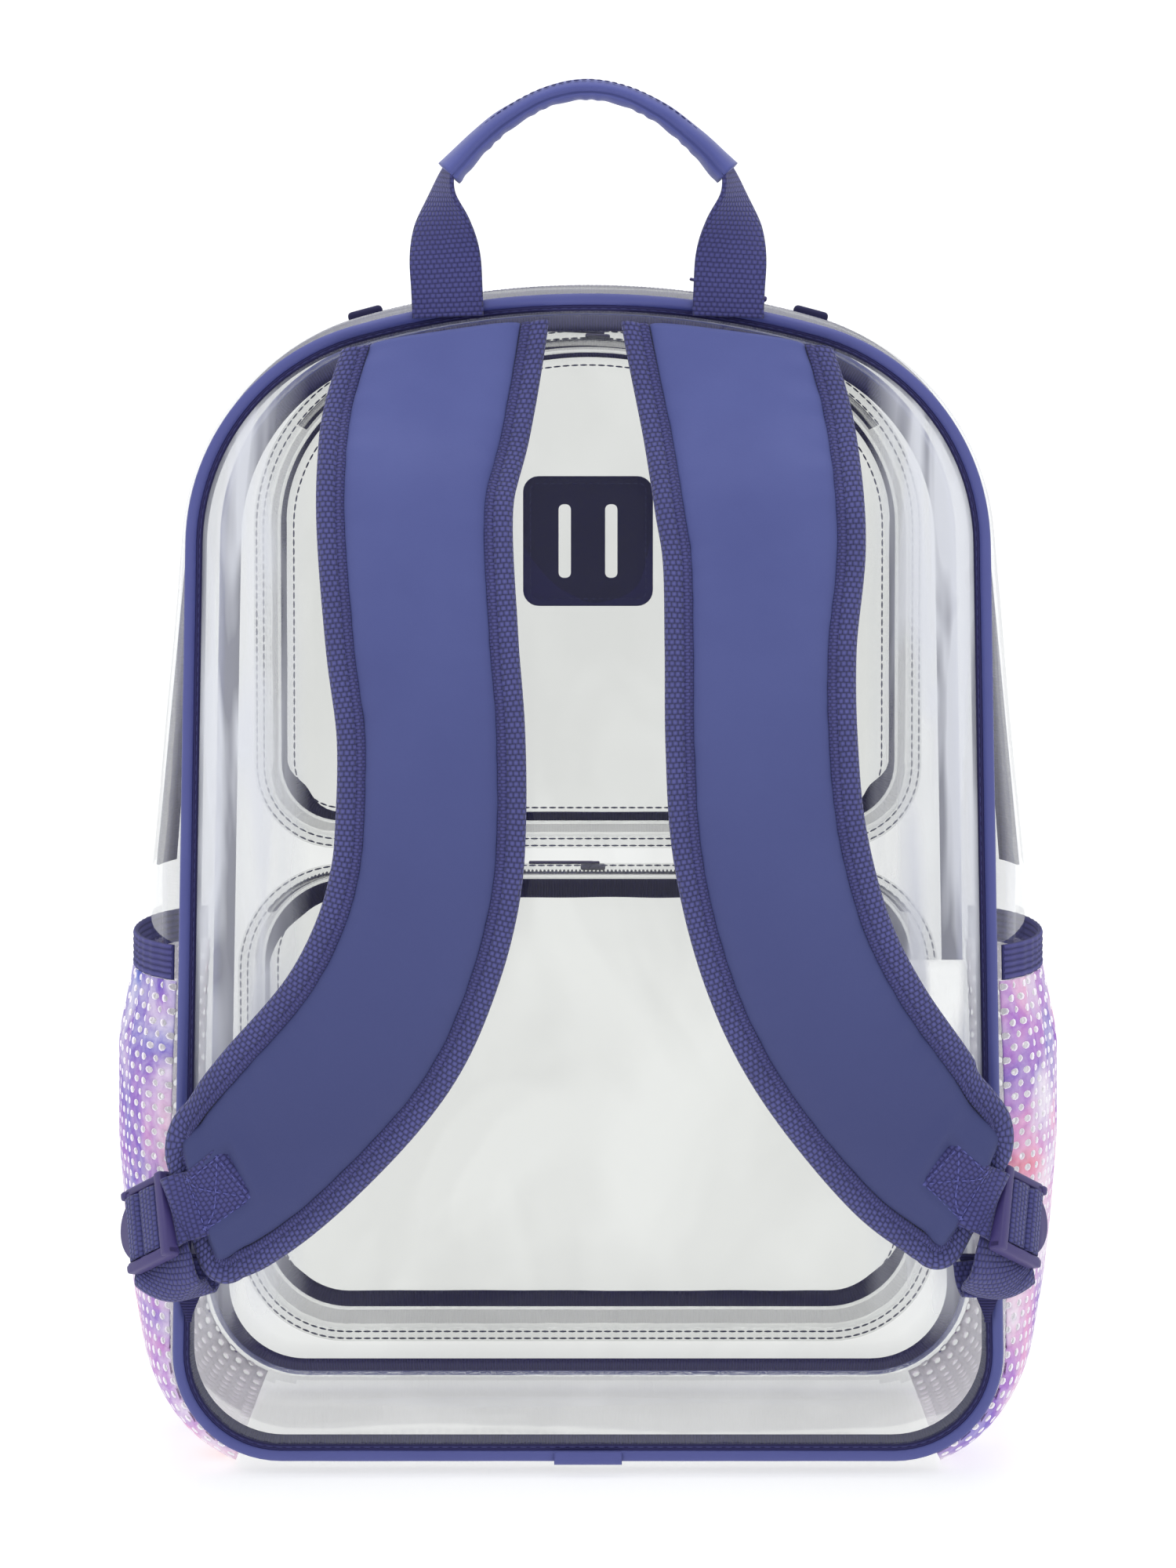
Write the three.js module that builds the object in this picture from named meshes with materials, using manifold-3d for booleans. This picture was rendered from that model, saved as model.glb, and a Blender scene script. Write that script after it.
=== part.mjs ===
// A clear backpack with padded arm straps, mesh side pockets and two front pockets.
// Millimetres, +Z up. The panel with the straps faces -Y, the front pockets face +Y.
// The origin is the middle of the flat base that the bag stands on.
import * as THREE from 'three';
import { mergeVertices } from 'three/addons/utils/BufferGeometryUtils.js';
import Module from 'manifold-3d';

const wasm = await Module();
wasm.setup();

// Body sizes
const seamTop = 433.5;          // height of the panel seam at the crown
const bodyDepth = 140;          // from the back panel to the front panel
const footHalfWidth = 152;      // half the panel's width at its foot
const shoulderHalfWidth = 144;  // half its width where the shoulder corners would meet
const footRadius = 38;          // lower corners of the panels
const shoulderRadius = 82;      // upper corners of the panels
const crownSlope = 15;          // degrees the crown falls at the shoulders
const baseSag = 7.5;            // how far the base hangs under the panel seam
const sideBulge = 20;           // how far the gusset swells past the seam at mid height
const crownBulge = 8;           // how far it swells at the top
const sheet = 1.2;              // thickness of the clear sheet
const clear = 0.3;              // gap between pieces that touch
const softClear = 0.6;          // gap beside soft pieces

// Seam trim
const cordRadius = 2.2;
const pipingFlange = 4;         // flat tape beside the cord, on the panel
const bindingWidth = 10;        // grosgrain inside the seams
const tape = 1.1;               // thickness of tapes and bindings
const jointLength = 25;         // sleeve over the back piping's ends
const jointThick = 0.7;
const seamTuck = 0.9;           // how far the gusset's edge reaches beside the cord

// Main zip
const zipTapeWidth = 24;
const zipChainWidth = 6;
const chainThick = 1.8;
const zipEnd = 0.5;             // height where the zip ends, a share of the seam's top
const zipForward = 0.45;        // where it runs, a share of the gusset's half depth from the middle
const slider = { length: 10, width: 8, height: 3.4, pullLength: 26, pullWidth: 5, pullThick: 1.2 };
const tabSize = { length: 14, height: 5 };
const tabAcross = 84;           // where the two tabs stand, each side of the crown
const tabFromChain = 2;

// Front pockets
const pocketFromSeam = 15;      // from the panel's side to the upper pocket's wall
const upperPocket = {
  halfWidth: shoulderHalfWidth - pocketFromSeam, bottom: 224, top: 419, depth: 30, corner: 28, shoulder: 68,
};
const lowerPocket = {
  halfWidth: footHalfWidth - pocketFromSeam - 1, bottom: 24, top: 208, depth: 30, corner: 38, shoulder: 38,
};
const domeRise = 0.45;          // slope of the upper pocket's crown, a share of the bag's
const domeDrop = 0.7;           // share of that rise by which its shoulders fall
const pocketFlange = 5;
const pocketLean = 3;           // how far a pocket's wall leans in towards its face
const pocketBinding = 8;
const bindingFromWall = 1.5;
const faceEdge = 2;             // slant round the edge of a pocket's face
const pocketZipWidth = 16;
const pocketZipClear = 0.5;
const pocketSliderLift = 1.2;
const patchSize = { side: 53, corner: 6, thick: 1.6, middle: 342 };
const slotSize = { width: 5, height: 30, spacing: 19 };
const labelSize = { width: 32, height: 52, thick: 1, top: 190 };

// Side pockets
const mouthHeight = 183;        // top of the perforated fabric
const pocketFoot = 3;           // where it starts, near the base
const pocketSwell = 11;         // how far it stands off the gusset
const cloth = 1.4;
const elasticHeight = 13;
const elasticThick = 1.8;
const holeRadius = 1.6;
const holePitch = 21;
const holeRows = 6;
const holeColumns = 6;

// Arm straps
const strapWidth = 69;
const strapLift = 45;           // how far the strap stands off the back panel at most
const padThick = 13;
const edgeWidth = 10.5;         // woven binding round the strap's rim
const edgeThick = 5.5;
const strapEndRadius = 15;
const webbing = 1.5;            // thickness of webbing
const webWidth = 26;

// Handle
const sleeveHeight = 7.5;
const sleeveDepth = 18;
const handleHalfSpan = 53;      // from the middle of the bag to a leg
const handleRise = 76;          // from the crown's seam to the top of the sleeve
const handleForward = cordRadius + webbing / 2 + 2 * clear;  // from the back panel to its middle

// Buckles
const buckle = { length: 32, width: 24, bar: 4, thick: 3.4, corner: 3, tabRadius: 13 };
const cornerTab = { width: 22, height: 26, thick: 2.2, z: 84, below: 1 };

const backY = -bodyDepth / 2;
const frontY = bodyDepth / 2;
const panelFace = backY - sheet;
const degrees = Math.PI / 180;

const navy = { color: 0x45457e, roughness: 0.75, metalness: 0 };
const darkNavy = { color: 0x2f2f5c, roughness: 0.8, metalness: 0 };
const strapBlue = { color: 0x5a60a0, roughness: 0.7, metalness: 0 };
const clearSheet = { color: 0xe9ebe8, roughness: 0.08, metalness: 0, transparent: true, opacity: 0.3 };
const printed = { color: 0xb79bd0, roughness: 0.85, metalness: 0 };
const plasticNavy = { color: 0x4a4580, roughness: 0.4, metalness: 0 };
const patchNavy = { color: 0x2d2855, roughness: 0.5, metalness: 0 };
const labelWhite = { color: 0xf4f4f2, roughness: 0.8, metalness: 0 };

const bag = new THREE.Group();

function add(name, geometry, look) {
  const mesh = new THREE.Mesh(geometry, new THREE.MeshStandardMaterial(look));
  mesh.name = name;
  bag.add(mesh);
  return mesh;
}

// Mesh helpers

function geometryOf(points, faces) {
  const geometry = new THREE.BufferGeometry();
  geometry.setAttribute('position', new THREE.Float32BufferAttribute(points.flatMap((p) => p.toArray()), 3));
  geometry.setIndex(volumeOf(points, faces) < 0 ? faces.flatMap(([a, b, c]) => [a, c, b]) : faces.flat());
  return geometry;
}

function volumeOf(points, faces) {
  const cross = new THREE.Vector3();
  return faces.reduce((sum, [a, b, c]) => sum + points[a].dot(cross.crossVectors(points[b], points[c])), 0);
}

function quadsBetween(first, second, count, wrap) {
  const faces = [];
  for (let i = 0; i < (wrap ? count : count - 1); i += 1) {
    const j = (i + 1) % count;
    faces.push([first + i, first + j, second + j], [first + i, second + j, second + i]);
  }
  return faces;
}

// A body lofted through rings of equal count, closed on itself or with flat ends.
function loft(rings, closed = false) {
  const count = rings[0].length;
  const points = rings.flat();
  const faces = [];
  for (let i = 0; i < (closed ? rings.length : rings.length - 1); i += 1) {
    faces.push(...quadsBetween(i * count, ((i + 1) % rings.length) * count, count, true));
  }
  if (!closed) {
    faces.push(...capOf(rings[0], 0).map(([a, b, c]) => [a, c, b]));
    faces.push(...capOf(rings.at(-1), (rings.length - 1) * count));
  }
  return geometryOf(points, faces);
}

function capOf(ring, offset) {
  const normal = new THREE.Vector3();
  ring.forEach((point, i) => {
    const next = ring[(i + 1) % ring.length];
    normal.add(new THREE.Vector3().crossVectors(point, next));
  });
  normal.normalize();
  const side = new THREE.Vector3(normal.z, normal.x, normal.y).cross(normal).normalize();
  const up = new THREE.Vector3().crossVectors(normal, side);
  const flat = ring.map((point) => new THREE.Vector2(point.dot(side), point.dot(up)));
  return THREE.ShapeUtils.triangulateShape(flat, []).map((face) => face.map((i) => i + offset));
}

// A sheet with the given thickness around a grid of middle points and their outward normals.
function sheetOf(grid, thickness) {
  const side = (sign) => grid.map((row) => row.map(({ point, normal }) => (
    point.clone().addScaledVector(normal, sign * thickness / 2))));
  const outer = side(1);
  const inner = side(-1);
  const rings = outer.map((row, i) => [...row, ...inner[i].slice().reverse()]);
  return loft(rings);
}

function toManifold(geometry) {
  const bare = geometry.clone();
  bare.deleteAttribute('normal');
  bare.deleteAttribute('uv');
  const merged = mergeVertices(bare, 1e-5);
  return new wasm.Manifold(new wasm.Mesh({
    numProp: 3,
    vertProperties: new Float32Array(merged.attributes.position.array),
    triVerts: new Uint32Array(merged.index.array),
  }));
}

function fromManifold(solid) {
  const { vertProperties, triVerts } = solid.getMesh();
  const geometry = new THREE.BufferGeometry();
  geometry.setAttribute('position', new THREE.BufferAttribute(new Float32Array(vertProperties), 3));
  geometry.setIndex(new THREE.BufferAttribute(new Uint32Array(triVerts), 1));
  return geometry;
}

// Outlines in the plane of a panel

// Stations round a closed shape with rounded corners, in order from the foot's middle and
// anticlockwise as seen from the back, each with its outward direction.
function roundedOutline(corners, longestStep) {
  const stations = [];
  corners.forEach((corner, i) => {
    const before = corners[(i + corners.length - 1) % corners.length];
    const after = corners[(i + 1) % corners.length];
    const inward = Math.atan2(corner.z - before.z, corner.x - before.x);
    let turn = Math.atan2(after.z - corner.z, after.x - corner.x) - inward;
    turn += turn < 0 ? 2 * Math.PI : 0;
    const reach = corner.radius * Math.tan(turn / 2);
    const centre = {
      x: corner.x - reach * Math.cos(inward) - corner.radius * Math.sin(inward),
      z: corner.z - reach * Math.sin(inward) + corner.radius * Math.cos(inward),
    };
    for (let step = 0; step <= corner.steps; step += 1) {
      const angle = inward - Math.PI / 2 + turn * step / corner.steps;
      stations.push(station(centre, corner.radius, angle));
    }
  });
  return stations.flatMap((here, i) => {
    const next = stations[(i + 1) % stations.length];
    const straight = Math.hypot(next.nx - here.nx, next.nz - here.nz) < 1e-6;
    const steps = straight ? Math.ceil(Math.hypot(next.x - here.x, next.z - here.z) / longestStep) : 1;
    return Array.from({ length: steps }, (_, k) => mixStations(here, next, k / steps));
  });
}

function station(centre, radius, angle) {
  const nx = Math.cos(angle);
  const nz = Math.sin(angle);
  return { x: centre.x + radius * nx, z: centre.z + radius * nz, nx, nz };
}

function mixStations(a, b, t) {
  const mix = (key) => a[key] + (b[key] - a[key]) * t;
  const length = Math.hypot(mix('nx'), mix('nz'));
  const swells = a.swells?.map((out, i) => out + (b.swells[i] - out) * t);
  return { x: mix('x'), z: mix('z'), nx: mix('nx') / length, nz: mix('nz') / length, swells };
}

function at({ x, z, nx, nz }, out, y) {
  return new THREE.Vector3(x + nx * out, y, z + nz * out);
}

// The panel's outline: straight foot, rounded corners, leaning sides and a low crown.
function seamCorners() {
  const slope = crownSlope * degrees;
  const shoulderReach = shoulderRadius * Math.tan((90 - crownSlope) / 2 * degrees);
  const crownReach = 0.98 * (shoulderHalfWidth / Math.cos(slope) - shoulderReach);
  const crownRadius = crownReach / Math.tan(slope);
  const crown = seamTop + crownRadius * (1 / Math.cos(slope) - 1);
  const shoulder = crown - shoulderHalfWidth * Math.tan(slope);
  return [
    { x: footHalfWidth, z: baseSag, radius: footRadius, steps: 5 },
    { x: shoulderHalfWidth, z: shoulder, radius: shoulderRadius, steps: 6 },
    { x: 0, z: crown, radius: crownRadius, steps: 4 },
    { x: -shoulderHalfWidth, z: shoulder, radius: shoulderRadius, steps: 6 },
    { x: -footHalfWidth, z: baseSag, radius: footRadius, steps: 5 },
  ];
}

const longestSeamStep = 50;
const seam = roundedOutline(seamCorners(), longestSeamStep);

function pocketCorners({ halfWidth, bottom, top, corner, shoulder }, domed) {
  const rise = domed ? halfWidth * Math.tan(crownSlope * domeRise * degrees) : 0;
  const crown = domed ? [{ x: 0, z: top + rise * (1 - domeDrop), radius: halfWidth, steps: 4 }] : [];
  const shoulderHeight = top - rise * domeDrop;
  return [
    { x: halfWidth, z: bottom, radius: corner, steps: 4 },
    { x: halfWidth, z: shoulderHeight, radius: shoulder, steps: 5 },
    ...crown,
    { x: -halfWidth, z: shoulderHeight, radius: shoulder, steps: 5 },
    { x: -halfWidth, z: bottom, radius: corner, steps: 4 },
  ];
}

// A band that follows a closed outline, its section given for each station.
function bandAround(outline, section) {
  return loft(outline.map((here) => section(here).map(({ out, y }) => at(here, out, y))), true);
}

function panel(outline, inset, y, thickness) {
  const ring = (depth) => outline.map((here) => at(here, -inset, depth));
  return loft([ring(y), ring(y + thickness)]);
}

// The gusset's swell across the depth of the bag, as shares of its bulge at that height.
const swellAcross = [
  { depth: -1, base: 0, side: 0 },
  { depth: -0.8, base: 0.85, side: 0.5 },
  { depth: -0.45, base: 1, side: 0.87 },
  { depth: 0, base: 1, side: 1 },
  { depth: 0.45, base: 1, side: 0.87 },
  { depth: 0.8, base: 0.85, side: 0.5 },
  { depth: 1, base: 0, side: 0 },
];

// The bulge at heights given as shares of the seam's top, in shares of the side bulge.
const bulgeAtHeight = [
  { up: 0.05, bulge: 0.45 },
  { up: 0.2, bulge: 0.75 },
  { up: 0.38, bulge: 0.95 },
  { up: 0.5, bulge: 1 },
  { up: 0.8, bulge: 0.45 },
  { up: 0.95, bulge: 0.4 },
];

function lookUp(table, key, value, column) {
  const next = table.findIndex((row) => row[key] >= value);
  if (next <= 0) {
    return (next === 0 ? table[0] : table.at(-1))[column];
  }
  const [low, high] = [table[next - 1], table[next]];
  return low[column] + (high[column] - low[column]) * (value - low[key]) / (high[key] - low[key]);
}

function swellsAt(here) {
  const onBase = Math.max(0, -here.nz);
  const onCrown = Math.max(0, here.nz);
  const side = sideBulge * lookUp(bulgeAtHeight, 'up', here.z / seamTop, 'bulge');
  const bulge = side * (1 - onBase) * (1 - onCrown) + baseSag * onBase + crownBulge * onCrown;
  return swellAcross.map(({ base, side: aside }) => bulge * (base * onBase + aside * (1 - onBase)));
}

seam.forEach((here) => {
  here.swells = swellsAt(here);
});

function swell(here, depth) {
  const rows = swellAcross.map((row, i) => ({ depth: row.depth, out: here.swells[i] }));
  return lookUp(rows, 'depth', depth, 'out');
}

const gussetHalf = frontY - cordRadius + seamTuck;
const zipY = zipForward * gussetHalf;

function gusset() {
  return bandAround(seam, (here) => {
    const side = (offset) => swellAcross.map(({ depth }) => (
      { out: swell(here, depth) - sheet * (1 - offset), y: depth * gussetHalf }));
    return [...side(1), ...side(0).reverse()];
  });
}

// Piping: a cord with a flat tape on the panel. away is -1 on the back and 1 on the front.
function piping(away) {
  const cordY = away * (frontY + sheet + clear);
  const section = [
    [-pipingFlange, 0], [-pipingFlange, 0.7], [-1.9, 1], [0, cordRadius], [1.7, 1.4],
    [cordRadius, -0.2], [0.4, -1.9], [-2.1, -0.2],
  ];
  return bandAround(seam, () => section.map(([out, lift]) => ({ out, y: cordY + away * lift })));
}

// The sleeve where the two ends of the back piping meet, at the middle of the foot.
function pipingJoint() {
  const y = backY - sheet - clear;
  const angles = [-20, 15, 50, 85, 120];
  const arc = (radius) => angles.map((angle) => (
    { out: radius * Math.cos(angle * degrees), lift: radius * Math.sin(angle * degrees) }));
  const inner = cordRadius + clear + 0.1;
  const section = [...arc(inner), ...arc(inner + jointThick).reverse()];
  const ring = (x) => section.map(({ out, lift }) => new THREE.Vector3(x, y - lift, baseSag - out));
  return loft([ring(-jointLength / 2), ring(jointLength / 2)]);
}

const bindingInset = sheet - 0.1;
const bindingY = frontY - cordRadius - 0.6;
const bindingLean = 45;

function seamBinding(away) {
  const outer = { out: -bindingInset, y: away * bindingY };
  const lean = bindingLean * degrees;
  const run = { out: -bindingWidth * Math.cos(lean), y: -away * bindingWidth * Math.sin(lean) };
  const thick = { out: -tape * Math.sin(lean), y: away * tape * Math.cos(lean) };
  return bandAround(seam, () => [
    outer,
    { out: outer.out + run.out, y: outer.y + run.y },
    { out: outer.out + run.out + thick.out, y: outer.y + run.y + thick.y },
    { out: outer.out + thick.out, y: outer.y + thick.y },
  ]);
}

// A strip that lies on the outside of the gusset between two depths, over some stations.
function stripOn(stations, columns, lift, thickness) {
  const grid = stations.map((here) => columns.map((y) => ({
    point: at(here, swell(here, y / gussetHalf) + lift + thickness / 2, y),
    normal: new THREE.Vector3(here.nx, 0, here.nz),
  })));
  return sheetOf(grid, thickness);
}

function stationsAbove(height) {
  return seam.filter((here) => here.z > height && here.nz > -0.5);
}

// A zip slider with its pull lying along the chain, on a station of an outline.
function zipSlider(here, out, y) {
  const { length, width, height, pullLength, pullWidth, pullThick } = slider;
  const body = new THREE.BoxGeometry(length, width, height).translate(0, 0, height / 2);
  const pull = new THREE.BoxGeometry(pullLength, pullWidth, pullThick);
  pull.translate(-pullLength / 2, 0, height - pullThick / 2);
  const solid = fromManifold(toManifold(body).add(toManifold(pull)));
  const outward = new THREE.Vector3(here.nx, 0, here.nz);
  const along = new THREE.Vector3(here.nz, 0, -here.nx);
  const basis = new THREE.Matrix4().makeBasis(along, new THREE.Vector3(0, 1, 0), outward);
  return solid.applyMatrix4(basis.setPosition(at(here, out, y)));
}

// The slider is parked on the crown where the handle's right leg hides it from the back.
function parkedBehindHandle(chain) {
  const crown = chain.filter((here) => here.nz > 0.9).sort((a, b) => a.x - b.x);
  const next = crown.findIndex((here) => here.x > handleHalfSpan);
  return mixStations(crown[next - 1], crown[next], 0.5);
}

function mainZip() {
  const over = stationsAbove(zipEnd * seamTop);
  const half = zipTapeWidth / 2;
  const columns = (reach) => [-reach, 0, reach].map((y) => y + zipY);
  add('main_zip_tape', stripOn(over, columns(half), softClear, tape), darkNavy);
  const chain = over.slice(1, -1);
  const lift = softClear + tape + clear;
  add('main_zip_chain', stripOn(chain, columns(zipChainWidth / 2), lift, chainThick), navy);
  const parked = parkedBehindHandle(chain);
  const out = swell(parked, zipForward) + lift + chainThick + clear;
  add('main_zip_slider', zipSlider(parked, out, zipY), plasticNavy);
}

function topTab(side) {
  const crown = seam.filter((here) => here.nz > 0.5 && here.x * side > 0);
  const near = crown.reduce((a, b) => (
    Math.abs(Math.abs(a.x) - tabAcross) < Math.abs(Math.abs(b.x) - tabAcross) ? a : b));
  const foot = swell(near, zipForward) + softClear + tape + clear;
  const along = new THREE.Vector3(-near.nz, 0, near.nx).multiplyScalar(tabSize.length / 2);
  const corner = (sign, out, y) => at(near, out, y).addScaledVector(along, sign);
  const ring = (y) => [
    corner(-1, foot, y), corner(1, foot, y),
    corner(1, foot + tabSize.height, y), corner(-1, foot + tabSize.height, y),
  ];
  const from = zipY + zipChainWidth / 2 + tabFromChain;
  return loft([ring(from), ring(from + zipTapeWidth / 4)]);
}

// A pocket shaped like a tray with a flange, sewn to the outside of the front panel.
const flangeY = frontY + sheet + clear;

function trayPocket(outline, { depth }) {
  const ring = (out, y) => outline.map((here) => at(here, out, y));
  const face = frontY + depth;
  return loft([
    ring(-pocketLean - sheet, face - sheet),
    ring(-sheet, flangeY),
    ring(pocketFlange, flangeY),
    ring(pocketFlange, flangeY + sheet),
    ring(0, flangeY + sheet),
    ring(-pocketLean, face - sheet),
    ring(-pocketLean - faceEdge, face),
  ]);
}

function faceBinding(outline, { depth }) {
  const inner = frontY + depth - sheet - clear;
  const edge = -pocketLean - sheet - bindingFromWall;
  return bandAround(outline, () => [
    { out: edge, y: inner - tape },
    { out: edge, y: inner },
    { out: edge - pocketBinding, y: inner },
    { out: edge - pocketBinding, y: inner - tape },
  ]);
}

// The zip lies along the pocket's top wall, from one shoulder to the other.
function pocketZip(outline, { depth, top }) {
  const crest = outline.filter((here) => here.nz > 0.55 && here.z > top * 0.8);
  const middle = flangeY + (depth - sheet) / 2;
  const leanAt = (y) => -pocketLean * (y - flangeY) / (depth - sheet);
  const grid = crest.map((here) => [-0.5, 0.5].map((side) => {
    const y = middle + side * pocketZipWidth;
    return {
      point: at(here, leanAt(y) + pocketZipClear + tape / 2, y),
      normal: new THREE.Vector3(here.nx, 0, here.nz),
    };
  }));
  return sheetOf(grid, tape);
}

function pocketSlider(outline, { depth, top }) {
  const crest = outline.filter((here) => here.nz > 0.9 && here.z > top * 0.8);
  const middle = Math.floor(crest.length / 2);
  const y = flangeY + (depth - sheet) / 2;
  const here = mixStations(crest[middle - 1], crest[middle], 0.3);
  return zipSlider(here, clear + tape - pocketLean / 2 + pocketSliderLift, y);
}

function frontPockets() {
  const pockets = [['upper_pocket', upperPocket, true], ['lower_pocket', lowerPocket, false]];
  pockets.forEach(([name, sizes, domed]) => {
    const outline = roundedOutline(pocketCorners(sizes, domed), 2 * sizes.halfWidth);
    add(name, trayPocket(outline, sizes), clearSheet);
    add(`${name}_binding`, faceBinding(outline, sizes), darkNavy);
    add(`${name}_zip`, pocketZip(outline, sizes), darkNavy);
    add(`${name}_slider`, pocketSlider(outline, sizes), plasticNavy);
  });
}

function roundedShape(width, height, radius) {
  const shape = new THREE.Shape();
  const [w, h] = [width / 2 - radius, height / 2 - radius];
  shape.absarc(w, h, radius, 0, Math.PI / 2, false);
  shape.absarc(-w, h, radius, Math.PI / 2, Math.PI, false);
  shape.absarc(-w, -h, radius, Math.PI, 1.5 * Math.PI, false);
  shape.absarc(w, -h, radius, 1.5 * Math.PI, 2 * Math.PI, false);
  return shape;
}

function plate(shape, depth, curveSegments) {
  const geometry = new THREE.ExtrudeGeometry(shape, { depth, bevelEnabled: false, curveSegments });
  return geometry.rotateX(Math.PI / 2);
}

function lashPatch() {
  const shape = roundedShape(patchSize.side, patchSize.side, patchSize.corner);
  [-1, 1].forEach((side) => {
    const slot = roundedShape(slotSize.width, slotSize.height, slotSize.width / 2 - 0.01);
    const moved = slot.getPoints(2).map((p) => new THREE.Vector2(p.x + side * slotSize.spacing / 2, p.y));
    shape.holes.push(new THREE.Path(moved));
  });
  const patch = add('lash_patch', plate(shape, patchSize.thick, 3), patchNavy);
  const face = frontY + upperPocket.depth + clear;
  patch.position.set(0, face + patchSize.thick, patchSize.middle);
}

// The label hangs from the inner edge of the back seam's binding, on the right.
function careLabel() {
  const { width, height, top } = labelSize;
  const lean = bindingLean * degrees;
  const seamAtTop = sideStations(1, top - height, top).at(-1);
  const edge = seamAtTop.x - bindingInset - bindingWidth * Math.cos(lean) - tape * Math.sin(lean) - clear;
  const label = add('care_label', new THREE.BoxGeometry(width, labelSize.thick, height), labelWhite);
  const y = bindingWidth * Math.sin(lean) - bindingY - tape / 2;
  label.position.set(edge - width / 2, y, top - height / 2);
}

// Side pockets follow the gusset and stand off it.

// How far the pocket stands off, as shares of its swell, at shares of the mouth's height.
const standOff = [
  { up: 0, off: 0 },
  { up: 0.12, off: 0.3 },
  { up: 0.35, off: 0.75 },
  { up: 0.65, off: 1 },
  { up: 0.85, off: 0.9 },
  { up: 1, off: 0.35 },
];

const pocketColumns = [-0.98, -0.8, -0.6, -0.45, 0, 0.45, 0.6, 0.8, 0.98];

function pocketPoint(here, depth, lift) {
  const off = pocketSwell * lookUp(standOff, 'up', Math.min(1, here.z / mouthHeight), 'off');
  const out = swell(here, depth) + lift + off * (1 - depth ** 4);
  return { point: at(here, out, depth * gussetHalf), normal: new THREE.Vector3(here.nx, 0, here.nz) };
}

// The seam's own stations up one side between two heights, and one at each of those heights.
function sideStations(side, low, high) {
  const up = seam.filter((here) => here.x * side > 0 && here.nz < 0.5).sort((a, b) => a.z - b.z);
  const stationAt = (z) => {
    const next = up.findIndex((here) => here.z >= z);
    const [a, b] = [up[next - 1], up[next]];
    return mixStations(a, b, (z - a.z) / (b.z - a.z));
  };
  const between = up.filter((here) => here.z > low + 1 && here.z < high - 1);
  return [stationAt(low), ...between, stationAt(high)];
}

function withMiddles(stations) {
  return stations.flatMap((here, i) => (
    i > 0 && here.z - stations[i - 1].z > longestSeamStep / 2
      ? [mixStations(stations[i - 1], here, 0.5), here] : [here]));
}

function sidePocket(side) {
  const stations = withMiddles(sideStations(side, baseSag + pocketFoot, mouthHeight));
  const lift = softClear + cloth / 2;
  const grid = stations.map((here) => pocketColumns.map((depth) => pocketPoint(here, depth, lift)));
  const wallSheet = toManifold(sheetOf(grid, cloth));
  return fromManifold(wallSheet.subtract(pocketHoles(side)));
}

// Staggered rows of six-sided holes, cut straight through in X.
function pocketHoles(side) {
  const tools = [];
  for (let row = 0; row < holeRows; row += 1) {
    const shift = row % 2 ? 0.25 : -0.25;
    for (let column = 0; column < holeColumns; column += 1) {
      const y = (column - (holeColumns - 1) / 2 + shift) * holePitch * 0.95;
      const z = mouthHeight - (row + 0.8) * holePitch;
      const tool = new THREE.CylinderGeometry(holeRadius, holeRadius, 90, 6).rotateZ(Math.PI / 2);
      tools.push(toManifold(tool.translate(side * (footHalfWidth + 15), y, z)));
    }
  }
  return tools.reduce((joined, tool) => joined.add(tool));
}

function elasticBand(side) {
  const stations = sideStations(side, mouthHeight + clear, mouthHeight + clear + elasticHeight);
  const lift = softClear + elasticThick / 2;
  const grid = stations.map((here) => pocketColumns.map((depth) => pocketPoint(here, depth, lift)));
  return sheetOf(grid, elasticThick);
}

// Arm straps. Each row is a section of the strap's middle line: across and up are shares of the
// shoulder half width and the seam's top, width and lift are shares of the strap's own sizes.
const leftStrapRows = [
  { across: 0.36, up: 0.969, width: 1.04, lift: 0.15 },
  { across: 0.405, up: 0.895, width: 1.09, lift: 0.38 },
  { across: 0.431, up: 0.833, width: 1.03, lift: 0.66 },
  { across: 0.412, up: 0.717, width: 1.0, lift: 0.86 },
  { across: 0.389, up: 0.641, width: 0.975, lift: 0.95 },
  { across: 0.389, up: 0.567, width: 0.985, lift: 1.0 },
  { across: 0.401, up: 0.519, width: 0.99, lift: 1.0 },
  { across: 0.446, up: 0.461, width: 1.0, lift: 0.97 },
  { across: 0.543, up: 0.393, width: 1.03, lift: 0.9 },
  { across: 0.745, up: 0.314, width: 1.03, lift: 0.75 },
  { across: 0.893, up: 0.268, width: 0.97, lift: 0.65 },
  { across: 1.02, up: 0.236, width: 0.8, lift: 0.6 },
];

const rightStrapRows = [
  { across: 0.351, up: 0.969, width: 1.06, lift: 0.15 },
  { across: 0.4, up: 0.895, width: 1.1, lift: 0.38 },
  { across: 0.426, up: 0.832, width: 1.09, lift: 0.66 },
  { across: 0.437, up: 0.791, width: 1.06, lift: 0.74 },
  { across: 0.428, up: 0.711, width: 0.995, lift: 0.86 },
  { across: 0.43, up: 0.63, width: 0.995, lift: 0.95 },
  { across: 0.45, up: 0.549, width: 1.01, lift: 1.0 },
  { across: 0.519, up: 0.46, width: 1.02, lift: 0.97 },
  { across: 0.623, up: 0.389, width: 1.03, lift: 0.9 },
  { across: 0.824, up: 0.3, width: 1.0, lift: 0.72 },
  { across: 0.913, up: 0.271, width: 0.93, lift: 0.66 },
  { across: 1.0, up: 0.241, width: 0.8, lift: 0.6 },
];

const strapSteps = 14;
const topSkew = 0.38;           // slant of the strap's top edge, which follows the crown
const skewReach = 0.15;         // share of the strap's length over which the slant fades
const endSkew = 0.36;           // slant of its lower end, where the buckle hangs upright
const endReach = 0.12;
const endStretch = 0.06;        // share of the strap's length with the whole slant

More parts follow.
